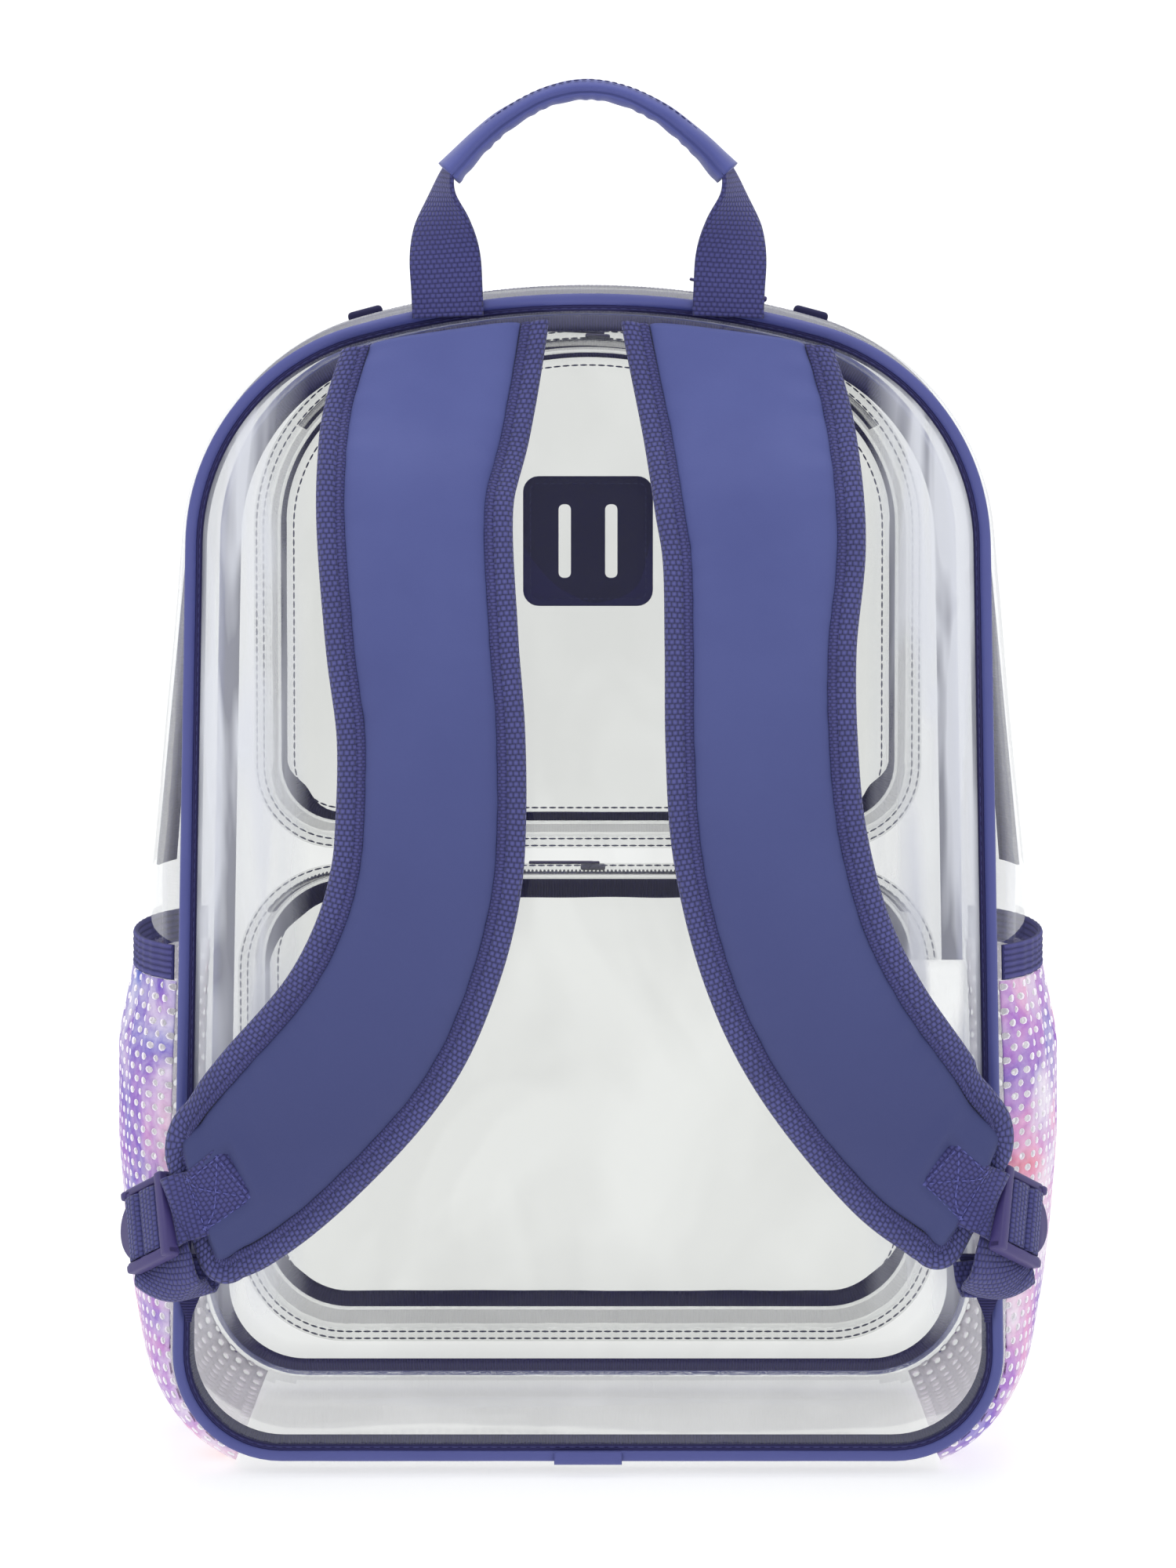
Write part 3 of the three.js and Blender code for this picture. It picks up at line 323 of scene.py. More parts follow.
@dataclass(frozen=True)
class ClearVinyl:
    """Soft clear sheet: sight passes through, with wavy reflections that grow at a slant.

    The attribute fold, from 0 to 1, marks creases and edges, where the sheet looks thicker. veil
    is the strength of a painted reflection: streaks of a white diffuse finish along its two upright sides.
    """

    name: str
    wave_scale: float = 9.0
    wave_depth: float = 0.006
    reflect: float = 1.15
    most: float = 0.4
    tint: Colour = (0.885, 0.888, 0.878)
    veil: float = 0.0

    def build(self) -> bpy.types.Material:
        """Builds the material."""
        material, tree, output = new_material(self.name)
        place = tree.coordinates()
        stretched = tree.make("ShaderNodeMapping", Vector=place)
        stretched.inputs["Scale"].default_value = (1.0, 1.0, 0.55)
        broad = tree.noise(stretched.outputs[0], self.wave_scale, 1.0)
        fine = tree.noise(place, 70.0, 1.0)
        fold = tree.make("ShaderNodeAttribute", attribute_name="fold").outputs["Fac"]
        crumple = tree.noise(place, 95.0, 2.0, distortion=1.5)
        height = tree.math("MULTIPLY_ADD", fine, 0.02, broad)
        height = tree.math("ADD", height, tree.math("MULTIPLY", tree.math("MULTIPLY", crumple, fold), 0.16))
        normal = tree.bump(height, self.wave_depth)
        fresnel = tree.make("ShaderNodeFresnel", IOR=1.52, Normal=normal).outputs[0]
        share = tree.math("MULTIPLY_ADD", fresnel, self.reflect, -0.038, clamp=True)
        share = tree.math("MULTIPLY_ADD", fold, 0.05, share)
        share = tree.math("MINIMUM", share, self.most)
        patches = tree.noise(stretched.outputs[0], 13.0, 2.0, distortion=1.2)
        patches = tree.math("MULTIPLY_ADD", patches, 9.0, -4.4, clamp=True)
        deep = tuple(v * 0.965 for v in self.tint)
        see = tree.make("ShaderNodeBsdfTransparent", Color=tree.mix(patches, deep, self.tint))
        gloss = tree.make("ShaderNodeBsdfGlossy", Color=(1.0, 1.0, 1.0), Roughness=0.05, Normal=normal)
        film = tree.blend(share, see, gloss)
        milk = tree.make("ShaderNodeBsdfPrincipled", Base_Color=(0.6, 0.63, 0.68), Roughness=0.3)
        edge = tree.blend(tree.math("MULTIPLY", fold, 0.14), film, milk)
        # Painted reflection: white streaks laid on the sheet's upright sides.
        if self.veil:
            edge = self.painted_reflection_streaks(tree, place, edge)
        tree.put(output, 0, edge.outputs[0])
        return material

    def painted_reflection_streaks(self, tree: NodeTree, place: bpy.types.NodeSocket, sheet: bpy.types.Node) -> bpy.types.Node:
        """Lays the pale upright streaks over the sheet: a painted reflection, a white diffuse finish mixed
        in.
        """
        split = tree.make("ShaderNodeSeparateXYZ", Vector=place)
        away = tree.math("ABSOLUTE", split.outputs[0])
        side = tree.math("MULTIPLY_ADD", away, 55.0, -5.6, clamp=True)
        tall = tree.make("ShaderNodeMapping", Vector=place)
        tall.inputs["Scale"].default_value = (1.0, 1.0, 0.13)
        streaks = tree.noise(tall.outputs[0], 75.0, 2.0, distortion=0.6)
        streaks = tree.math("MULTIPLY_ADD", streaks, 6.5, -2.75, clamp=True)
        foot = tree.math("MULTIPLY_ADD", split.outputs[2], 25.0, -1.2, clamp=True)
        share = tree.math("MULTIPLY", tree.math("MULTIPLY", side, foot),
                          tree.math("MULTIPLY_ADD", streaks, self.veil * 0.55, self.veil * 0.4))
        white = tree.make("ShaderNodeBsdfPrincipled", Base_Color=(0.9, 0.91, 0.95), Roughness=0.25)
        return tree.blend(share, sheet, white)


@dataclass(frozen=True)
class DyedCloth:
    """Perforated cloth with a cloudy tie-dye print."""

    name: str
    seed: float

    def build(self) -> bpy.types.Material:
        """Builds the material."""
        material, tree, output = new_material(self.name)
        shifted = tree.make("ShaderNodeMapping", Vector=tree.coordinates())
        shifted.inputs["Location"].default_value = (self.seed, self.seed * 0.7, -self.seed)
        place = shifted.outputs[0]
        wide = tree.noise(place, 11.0, 4.0, 0.55, 0.9)
        second = tree.noise(place, 19.0, 5.0, 0.6, 1.6)
        streak = tree.noise(place, 65.0, 5.0, 0.7, 0.8)
        warm = tree.ramp(wide, ((0.3, srgb(86, 108, 205)), (0.42, srgb(128, 96, 196)),
                                (0.5, srgb(186, 128, 208)), (0.58, srgb(238, 168, 208)),
                                (0.68, srgb(240, 120, 120))))
        pale = tree.math("SMOOTH_MIN", tree.math("MULTIPLY_ADD", second, 4.0, -1.75), 1.0, 0.1, clamp=True)
        colour = tree.mix(pale, warm, srgb(246, 238, 246))
        vein = tree.math("MULTIPLY_ADD", streak, 2.2, -0.85, clamp=True)
        colour = tree.mix(tree.math("MULTIPLY", vein, 0.45), colour, srgb(250, 240, 250))
        thread = tree.noise(place, 1800.0)
        tree.cover(output, colour, 0.8, tree.bump(thread, 0.0001))
        return material


# NAVY_DEEP and TAPE_DEEP, like the dark colour of every weave and rib finish below, are painted shade for the
# hollows between nubs and ribs.
NAVY = srgb(74, 74, 137)
NAVY_DEEP = srgb(34, 32, 92)
TAPE = srgb(46, 43, 98)
TAPE_DEEP = srgb(27, 24, 68)


class Finish(Enum):
    """The finishes of the bag."""

    CLEAR = ClearVinyl("clear_vinyl")
    # The back panel carries the painted reflection of white streaks.
    CLEAR_BACK = ClearVinyl("clear_vinyl_back", veil=0.9)
    CLEAR_BAND = ClearVinyl("clear_vinyl_band", wave_depth=0.004, most=0.26, tint=(0.965, 0.967, 0.962))
    CLEAR_BASE = ClearVinyl("clear_vinyl_base", wave_depth=0.0016, reflect=0.2, tint=(0.98, 0.982, 0.978))
    WEBBING = Weave("webbing_weave", NAVY, NAVY_DEEP, 0.0018, 0.0019, depth=0.0005)
    RIM = Weave("rim_weave", srgb(86, 87, 150), srgb(34, 34, 84), 0.0019, 0.0021, depth=0.0006)
    HERRINGBONE = Weave("rim_edge_weave", srgb(76, 76, 138), srgb(34, 34, 84), 0.0012, 0.0026, stagger=0.25)
    # deep darkens the strap cloth towards the floor: painted shade.
    PAD = Fabric("strap_cloth", srgb(91, 99, 158), srgb(80, 87, 146), sheen=0.08, deep=0.6)
    SLEEVE = Fabric("sleeve_cloth", srgb(92, 98, 165), srgb(76, 82, 146))
    PIPING = Smooth("coated_piping", srgb(82, 87, 152), srgb(70, 74, 138), 0.5)
    TAPE = Ribbed("seam_grosgrain", TAPE, TAPE_DEEP)
    ELASTIC = Ribbed("ribbed_elastic", srgb(80, 78, 140), srgb(40, 38, 92), 0.0024, True, 0.0006)
    PLASTIC = Smooth("buckle_plastic", srgb(64, 54, 110), srgb(76, 66, 122), 0.42)
    PATCH = Smooth("patch_rubber", srgb(32, 26, 98), srgb(40, 34, 106), 0.5, 200.0, 0.00001)
    # The label glows by emission: painted light.
    LABEL = Fabric("label_tape", srgb(252, 252, 250), srgb(244, 244, 242), 900.0, 0.8, 0.0,
                   thin=0.5, painted_glow=0.8)
    THREAD = Smooth("stitch_thread", srgb(50, 50, 104), srgb(66, 66, 122), 0.7)
    THREAD_LIGHT = Smooth("strap_thread", srgb(96, 98, 168), srgb(80, 82, 150), 0.7)
    COIL = Smooth("zip_coil", srgb(48, 48, 92), srgb(62, 62, 110), 0.45)
    # The pocket cloth's back glows by emission: painted light.
    CLOTH_BACK = Fabric("cloth_back", srgb(250, 246, 250), srgb(240, 234, 242), sheen=0.0, painted_glow=0.25)
    DYED_LEFT = DyedCloth("dyed_cloth_left", 0.37)
    DYED_RIGHT = DyedCloth("dyed_cloth_right", 1.91)

    def material(self) -> bpy.types.Material:
        """Returns this finish's material, built on first use."""
        return bpy.data.materials.get(self.value.name) or self.value.build()


# Mesh helpers


def put_in_scene(name: str, data: bpy.types.ID) -> bpy.types.Object:
    """Makes an object and links it to the scene."""
    obj = bpy.data.objects.new(name, data)
    bpy.context.scene.collection.objects.link(obj)
    return obj


def evaluated(obj: bpy.types.Object) -> bpy.types.Mesh:
    """Returns a plain mesh of an object with its modifiers applied."""
    graph = bpy.context.evaluated_depsgraph_get()
    return bpy.data.meshes.new_from_object(obj.evaluated_get(graph))


def unit(vectors: np.ndarray) -> np.ndarray:
    """Scales vectors, along the last axis, to length 1."""
    return vectors / np.maximum(np.linalg.norm(vectors, axis=-1, keepdims=True), 1e-12)


def ridged(points: np.ndarray, scale: float, seed: float = 0.0) -> np.ndarray:
    """Smooth noise from -1 to 1 at each point.

    Args:
        points: places, with x, y and z on the last axis.
        scale: how many waves there are to the metre.
        seed: moves the pattern.

    Returns:
        One number for each point.
    """
    flat = points.reshape(-1, 3) * scale + seed
    values = [noise.noise(Vector(p)) for p in flat]
    return np.array(values).reshape(points.shape[:-1])


def curve_through(rows: np.ndarray, count: int) -> np.ndarray:
    """A smooth curve through rows of numbers, sampled evenly by length of its first three columns.

    Args:
        rows: one row for each knot.
        count: how many samples.

    Returns:
        The sampled rows.
    """
    rows = np.asarray(rows, float)
    steps = np.linalg.norm(np.diff(rows[:, :3], axis=0), axis=1) ** 0.5
    knots = np.concatenate([[0], np.cumsum(steps)])
    tangents = np.gradient(rows, knots, axis=0)
    fine = np.linspace(0, knots[-1], count * 8)
    i = np.clip(np.searchsorted(knots, fine, "right") - 1, 0, len(rows) - 2)
    h = (knots[i + 1] - knots[i])[:, None]
    t = (fine - knots[i])[:, None] / h
    dense = ((2 * t**3 - 3 * t**2 + 1) * rows[i] + (t**3 - 2 * t**2 + t) * h * tangents[i]
             + (3 * t**2 - 2 * t**3) * rows[i + 1] + (t**3 - t**2) * h * tangents[i + 1])
    lengths = np.concatenate([[0], np.cumsum(np.linalg.norm(np.diff(dense[:, :3], axis=0), axis=1))])
    even = np.linspace(0, lengths[-1], count)
    return np.stack([np.interp(even, lengths, dense[:, k]) for k in range(rows.shape[1])], axis=1)


def mesh_piece(name: str, points: np.ndarray, faces: Sequence[Sequence[int]],
               uvs: np.ndarray | None = None) -> bpy.types.Object:
    """Makes a smooth-shaded object.

    Args:
        name: the piece's name.
        points: one row for each vertex.
        faces: the vertex numbers of each face.
        uvs: one pair for each corner of each face, in the faces' order.

    Returns:
        The new object, linked to the scene.
    """
    mesh = bpy.data.meshes.new(name)
    mesh.from_pydata([tuple(p) for p in np.asarray(points, float)], [], [tuple(map(int, f)) for f in faces])
    if uvs is not None:
        layer = mesh.uv_layers.new(name="UVMap")
        layer.data.foreach_set("uv", np.asarray(uvs, np.float32).ravel())
    mesh.shade_smooth()
    return put_in_scene(name, mesh)


def grid_piece(name: str, grid: np.ndarray, wrap_rows: bool = False, wrap_columns: bool = False,
               caps: bool = False, folds: np.ndarray | None = None) -> bpy.types.Object:
    """Makes a surface through a grid of points, with a UV map in metres.

    Args:
        name: the piece's name.
        grid: points, by row and column.
        wrap_rows: whether the last row joins the first.
        wrap_columns: whether the last column joins the first.
        caps: whether the first and the last row are filled.
        folds: the fold attribute at each point.

    Returns:
        The new object.
    """
    rows, columns = grid.shape[:2]
    along = arc_lengths(np.concatenate([grid, grid[:1]]) if wrap_rows else grid, 0)
    turned = np.concatenate([grid, grid[:, :1]], axis=1) if wrap_columns else grid
    across = arc_lengths(turned, 1)
    row_at = along.mean(axis=1)
    column_at = across.mean(axis=0)
    faces, uvs = [], []
    for i in range(rows if wrap_rows else rows - 1):
        for j in range(columns if wrap_columns else columns - 1):
            a, b = (i + 1) % rows, (j + 1) % columns
            faces.append((i * columns + j, i * columns + b, a * columns + b, a * columns + j))
            uvs += [(row_at[i], column_at[j]), (row_at[i], column_at[j + 1]),
                    (row_at[i + 1], column_at[j + 1]), (row_at[i + 1], column_at[j])]
    if caps:
        first, last = range(columns - 1, -1, -1), range((rows - 1) * columns, rows * columns)
        for ring in (first, last):
            faces.append(tuple(ring))
            uvs += [(0.0, 0.0)] * columns
    obj = mesh_piece(name, grid.reshape(-1, 3), faces, np.array(uvs))
    if folds is not None:
        layer = obj.data.attributes.new("fold", "FLOAT", "POINT")
        layer.data.foreach_set("value", np.asarray(folds, np.float32).ravel())
    return face_out(obj)


def arc_lengths(grid: np.ndarray, axis: int) -> np.ndarray:
    """Running length along one axis of a grid of points."""
    steps = np.linalg.norm(np.diff(grid, axis=axis), axis=-1)
    zero = np.zeros_like(np.take(steps, [0], axis=axis))
    return np.concatenate([zero, np.cumsum(steps, axis=axis)], axis=axis)


def face_out(obj: bpy.types.Object) -> bpy.types.Object:
    """Turns a closed mesh's faces outwards by the sign of its volume."""
    mesh = obj.data
    points = np.empty(len(mesh.vertices) * 3)
    mesh.vertices.foreach_get("co", points)
    points = points.reshape(-1, 3)
    mesh.calc_loop_triangles()
    triangles = np.array([t.vertices[:] for t in mesh.loop_triangles])
    a, b, c = (points[triangles[:, k]] for k in range(3))
    if np.einsum("ij,ij->i", a, np.cross(b, c)).sum() < 0:
        mesh.flip_normals()
    return obj


def dress(obj: bpy.types.Object, finish: Finish, slot: str, *nodes: str,
          pad: float | None = None) -> bpy.types.Object:
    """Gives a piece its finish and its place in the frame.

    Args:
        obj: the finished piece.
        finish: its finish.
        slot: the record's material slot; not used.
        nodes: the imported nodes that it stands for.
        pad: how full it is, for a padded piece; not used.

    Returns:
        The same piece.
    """
    if not obj.data.materials:
        obj.data.materials.append(finish.material())
    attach(obj, BODY)
    if nodes:
        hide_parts(*nodes)
    LOG.info("%s: %d faces", obj.name, len(obj.data.polygons))
    return obj


def sweep(path: np.ndarray, side: np.ndarray, face: np.ndarray, section: np.ndarray) -> np.ndarray:
    """Carries a section along a path.

    Args:
        path: the path's points.
        side: the direction of the section's first column at each point.
        face: the direction of its second column.
        section: pairs of offsets, alike for all points, or one list of pairs for each point.

    Returns:
        A grid of points.
    """
    section = np.asarray(section, float)
    if section.ndim == 2:
        section = np.broadcast_to(section, (len(path), *section.shape))
    return path[:, None] + section[..., :1] * side[:, None] + section[..., 1:2] * face[:, None]


def tangents_of(path: np.ndarray) -> np.ndarray:
    """Unit directions along a path."""
    return unit(np.gradient(path, axis=0))


def ringed(path: np.ndarray) -> np.ndarray:
    """Closes a path by its first point."""
    return np.concatenate([path, path[:1]])


def square_to(aside: np.ndarray, ahead: np.ndarray) -> np.ndarray:
    """Directions beside a path, turned square to it."""
    return unit(aside - ahead * np.sum(aside * ahead, axis=1, keepdims=True))


def axes(ahead: Sequence[float], aside: Sequence[float], up: Sequence[float],
         place: Sequence[float]) -> Matrix:
    """The matrix that carries a shape to a place and turns its X, Y and Z that way."""
    return Matrix([[ahead[k], aside[k], up[k], place[k]] for k in range(3)] + [[0, 0, 0, 1]])


# What repeats along a path


class Repeat:
    """Copies one small shape along a path by Geometry Nodes, and gives a plain mesh."""

    def __init__(self, name: str, pitch: float, size: tuple[float, float, float], finish: Finish,
                 rounded: bool = True) -> None:
        """Builds the tree.

        Args:
            name: the tree's name.
            pitch: the distance between copies.
            size: a copy's half sizes across, up and along the path.
            finish: the copies' finish.
            rounded: a capsule-like copy, or else a small block.
        """
        self.pitch = pitch
        self.size = size
        self.tree = bpy.data.node_groups.new(name, "GeometryNodeTree")
        face = self.tree.interface
        face.new_socket("Geometry", in_out="INPUT", socket_type="NodeSocketGeometry")
        self.pitch_id = face.new_socket("Pitch", in_out="INPUT", socket_type="NodeSocketFloat").identifier
        self.size_id = face.new_socket("Half size", in_out="INPUT", socket_type="NodeSocketVector").identifier
        face.new_socket("Geometry", in_out="OUTPUT", socket_type="NodeSocketGeometry")
        nodes = NodeTree(self.tree)
        start = nodes.make("NodeGroupInput")
        end = nodes.make("NodeGroupOutput")
        line = nodes.make("GeometryNodeMeshToCurve", Mesh=start.outputs[0])
        points = nodes.make("GeometryNodeCurveToPoints", mode="LENGTH", Curve=line.outputs[0])
        nodes.put(points, "Length", start.outputs[1])
        if rounded:
            shape = nodes.make("GeometryNodeMeshUVSphere", Segments=6, Rings=4, Radius=1.0)
        else:
            shape = nodes.make("GeometryNodeMeshCube", Size=(2.0, 2.0, 2.0))
        copies = nodes.make("GeometryNodeInstanceOnPoints", Points=points.outputs[0],
                            Instance=shape.outputs[0])
        nodes.put(copies, "Rotation", points.outputs["Rotation"])
        nodes.put(copies, "Scale", start.outputs[2])
        real = nodes.make("GeometryNodeRealizeInstances", Geometry=copies.outputs[0])
        dressed = nodes.make("GeometryNodeSetMaterial", Geometry=real.outputs[0])
        dressed.inputs["Material"].default_value = finish.material()
        nodes.put(end, 0, dressed.outputs[0])

    def along(self, name: str, paths: Iterable[np.ndarray], smooth: bool = True) -> bpy.types.Object:
        """Lays the copies along paths.

        Args:
            name: the piece's name.
            paths: lists of points.
            smooth: whether the copies are shaded smooth.

        Returns:
            One plain mesh object with all the copies.
        """
        points, edges = [], []
        for path in paths:
            first = len(points)
            points += [tuple(p) for p in path]
            edges += [(first + i, first + i + 1) for i in range(len(path) - 1)]
        mesh = bpy.data.meshes.new(f"{name}_path")
        mesh.from_pydata(points, edges, [])
        obj = put_in_scene(name, mesh)
        modifier = obj.modifiers.new("repeat", "NODES")
        modifier.node_group = self.tree
        modifier[self.pitch_id] = self.pitch
        modifier[self.size_id] = self.size
        plain = evaluated(obj)
        obj.modifiers.remove(modifier)
        obj.data = plain
        if smooth:
            plain.shade_smooth()
        return obj


# Shapes in the plane of a panel


@dataclass(frozen=True)
class Outline:
    """Stations round a closed shape, anticlockwise as seen from the back, with outward directions."""

    x: np.ndarray
    z: np.ndarray
    nx: np.ndarray
    nz: np.ndarray

    @classmethod
    def rounded(cls, corners: Sequence[tuple[float, float, float]], step: float) -> "Outline":
        """Rounds a polygon's corners.

        Args:
            corners: the x, z and radius of each corner.
            step: the longest distance between stations.

        Returns:
            The outline.
        """
        rows = []
        for i, (cx, cz, radius) in enumerate(corners):
            bx, bz, _ = corners[i - 1]
            ax, az, _ = corners[(i + 1) % len(corners)]
            inward = math.atan2(cz - bz, cx - bx)
            turn = (math.atan2(az - cz, ax - cx) - inward) % (2 * math.pi)
            reach = radius * math.tan(turn / 2)
            mx = cx - reach * math.cos(inward) - radius * math.sin(inward)
            mz = cz - reach * math.sin(inward) + radius * math.cos(inward)
            steps = max(4, math.ceil(radius * turn / step))
            for angle in inward - math.pi / 2 + turn * np.linspace(0, 1, steps + 1):
                rows.append((mx + radius * math.cos(angle), mz + radius * math.sin(angle),
                             math.cos(angle), math.sin(angle)))
        filled = []
        for here, after in zip(rows, rows[1:] + rows[:1]):
            count = max(1, math.ceil(math.dist(here[:2], after[:2]) / step))
            filled += [tuple(np.array(here) + (np.array(after) - here) * k / count) for k in range(count)]
        table = np.array(filled)
        table[:, 2:] = unit(table[:, 2:])
        return cls(*table.T)

    def at(self, out: float | np.ndarray, y: float | np.ndarray) -> np.ndarray:
        """Places a point at each station, out from the outline and at a depth."""
        depth = np.broadcast_to(y, self.x.shape)
        return np.stack([self.x + self.nx * out, depth, self.z + self.nz * out], axis=-1)

    def part(self, keep: np.ndarray, key: np.ndarray) -> "Outline":
        """Keeps some stations, in the order of key."""
        order = np.flatnonzero(keep)
        order = order[np.argsort(key[order])]
        return Outline(self.x[order], self.z[order], self.nx[order], self.nz[order])

    def disc(self, margins: Sequence[tuple[float, float]], rings: int, y: float, swell: float,
             wave: float, seed: float) -> np.ndarray:
        """A sheet's grid from its rim to near the outline's middle.

        Args:
            margins: out and depth of the rings near the rim.
            rings: how many rings follow, towards the middle.
            y: the depth at the middle, before the swell.
            swell: how far the middle stands beyond y.
            wave: the height of slow waves.
            seed: moves the waves.

        Returns:
            Points, by ring and station.
        """
        grid = [self.at(out, depth) for out, depth in margins]
        last = grid[-1]
        middle = np.array([0.0, y, (self.z.min() + self.z.max()) / 2])
        for share in np.linspace(1, 0, rings + 1)[1:] * 0.985 + 0.015:
            ring = middle + (last - middle) * share
            rise = 1 - share ** 2
            ring[:, 1] = y + swell * rise + wave * ridged(ring, 11.0, seed) * min(1, 6 * (1 - share))
            grid.append(ring)
        return np.array(grid)


@dataclass(frozen=True)
class Body:
    """Sizes of the bag's clear body, and the seam that everything else follows."""

    seam_top: float = 0.4335
    depth: float = 0.14
    foot_half: float = 0.152
    shoulder_half: float = 0.144
    foot_radius: float = 0.038
    shoulder_radius: float = 0.082
    crown_slope: float = math.radians(15)
    sag: float = 0.0075
    side_bulge: float = 0.02
    crown_bulge: float = 0.008
    cord: float = 0.0022
    sheet: float = 0.0012
    step: float = 0.004
    bulge_heights: tuple[float, ...] = (0.05, 0.2, 0.38, 0.5, 0.8, 0.95)
    bulge_shares: tuple[float, ...] = (0.45, 0.75, 0.95, 1.0, 0.45, 0.4)

    @property
    def half(self) -> float:
        """The depth of the gusset's edges."""
        return self.depth / 2 - self.cord + 0.0009

    @property
    def cord_depth(self) -> float:
        """The depth of the piping's middle."""
        return self.depth / 2 + 0.0015

    def seam(self) -> Outline:
        """The seam's outline."""
        slope = self.crown_slope
        reach = self.shoulder_radius * math.tan((math.pi / 2 - slope) / 2)
        radius = 0.98 * (self.shoulder_half / math.cos(slope) - reach) / math.tan(slope)
        crown = self.seam_top + radius * (1 / math.cos(slope) - 1)
        shoulder = crown - self.shoulder_half * math.tan(slope)
        right = [(self.foot_half, self.sag, self.foot_radius),
                 (self.shoulder_half, shoulder, self.shoulder_radius)]
        left = [(-x, z, r) for x, z, r in reversed(right)]
        return Outline.rounded([*right, (0.0, crown, radius), *left], self.step)

    def swell(self, seam: Outline, depth: float | np.ndarray) -> np.ndarray:
        """How far the gusset stands out from the seam.

        Args:
            seam: stations on the seam.
            depth: shares of the half depth, -1 at the back, one for each station or one for all.

        Returns:
            Distances, one for each station.
        """
        base, crown = np.maximum(0, -seam.nz), np.maximum(0, seam.nz)
        side = self.side_bulge * np.interp(seam.z / self.seam_top, self.bulge_heights, self.bulge_shares)
        bulge = side * (1 - base) * (1 - crown) + self.sag * base + self.crown_bulge * crown
        depth = np.clip(np.abs(depth), 0, 1)
        return bulge * ((1 - depth ** 8) * base + (1 - depth ** 2) ** 0.65 * (1 - base))

    def over(self, seam: Outline, lift: float, y: float) -> np.ndarray:
        """Points on the gusset's outside, lifted off it, at a depth."""
        return seam.at(self.swell(seam, y / self.half) + lift, y)


@dataclass(frozen=True)
class Tape:
    """A thin band with a rounded edge, made of a grid of its middle and a thickness."""

    thick: float

    def wrap(self, grid: np.ndarray) -> np.ndarray:
        """Gives a grid of middle points, by row and column, a front, a back and edges."""
        ahead = np.gradient(grid, axis=0)
        aside = np.gradient(grid, axis=1)
        normal = unit(np.cross(ahead, aside)) * self.thick / 2
        return np.concatenate([grid + normal, (grid - normal)[:, ::-1]], axis=1)

    def strip(self, name: str, grid: np.ndarray) -> bpy.types.Object:
        """Makes a strip with closed ends of a grid of middle points."""
        return grid_piece(name, self.wrap(grid), wrap_columns=True, caps=True)


# The clear body


@dataclass
class ClearShell:
    """The two panels and the gusset between them."""

    body: Body
    columns: int = 37
    dent: float = 0.0011

    def build(self, seam: Outline) -> None:
        """Builds and dresses the sheets."""
        self.gusset(seam)
        for name, away, seed in (("back_panel", -1, 3.1), ("front_panel", 1, 8.4)):
            y = away * (self.body.depth / 2 + 0.0006)
            rim = [(-0.0004, y), (-0.004, y), (-0.012, y)]
            grid = seam.disc(rim, 34, y, away * 0.0015, 0.0008, seed)
            folds = np.zeros(grid.shape[:2])
            folds[:2] = 0.7
            piece = grid_piece(f"{name}_sheet", grid[::-1], wrap_columns=True, folds=folds[::-1])
            turn_towards(piece, (0.0, away, 0.0), fill=range(grid.shape[1]))
            dress(piece, Finish.CLEAR_BACK if away < 0 else Finish.CLEAR, "clear_sheet", name)

    def gusset(self, seam: Outline) -> None:
        """Builds the band round the bag, dented a little where nothing holds it."""
        shares = np.sin(np.linspace(-1, 1, self.columns) * math.pi / 2)
        rows = []
        for share in shares:
            y = share * self.body.half
            ring = seam.at(self.body.swell(seam, share), y)
            dents = (0.5 + 0.5 * ridged(ring, 17.0, 5.0)) * self.dent * (1 - share ** 4)
            rows.append(seam.at(self.body.swell(seam, share) - dents, y))
        grid = np.array(rows)
        near_seam = np.exp(-((1 - np.abs(shares)) / 0.035) ** 2)[:, None]
        corner = np.clip(1 - np.abs(np.abs(seam.nz) - 0.6) / 0.45, 0, 1)[None] * 0.35
        folds = np.clip(near_seam * 0.9 + corner * np.abs(shares)[:, None] ** 2, 0, 1)
        piece = grid_piece("gusset_sheet", grid, wrap_columns=True,
                           folds=np.broadcast_to(folds, grid.shape[:2]))
        piece.data.materials.append(Finish.CLEAR_BAND.material())
        piece.data.materials.append(Finish.CLEAR_BASE.material())
        for polygon in piece.data.polygons:
            polygon.material_index = int(polygon.normal.z < -0.9)
        dress(piece, Finish.CLEAR_BAND, "clear_sheet", "gusset")


def turn_towards(piece: bpy.types.Object, outward: tuple[float, float, float],
                 fill: Iterable[int] | None = None) -> None:
    """Turns a flattish sheet's faces to one side.

    Args:
        piece: the sheet.
        outward: the direction that its faces should look in.
        fill: the vertices of a hole to close.
    """
    mesh = piece.data
    if fill is not None:
        edit = bmesh.new()
        edit.from_mesh(mesh)
        edit.verts.ensure_lookup_table()
        edit.faces.new([edit.verts[i] for i in fill]).smooth = True
        bmesh.ops.recalc_face_normals(edit, faces=edit.faces)
        edit.to_mesh(mesh)
        edit.free()
    total = sum((p.normal * p.area for p in mesh.polygons), Vector())
    if total.dot(Vector(outward)) < 0:
        mesh.flip_normals()


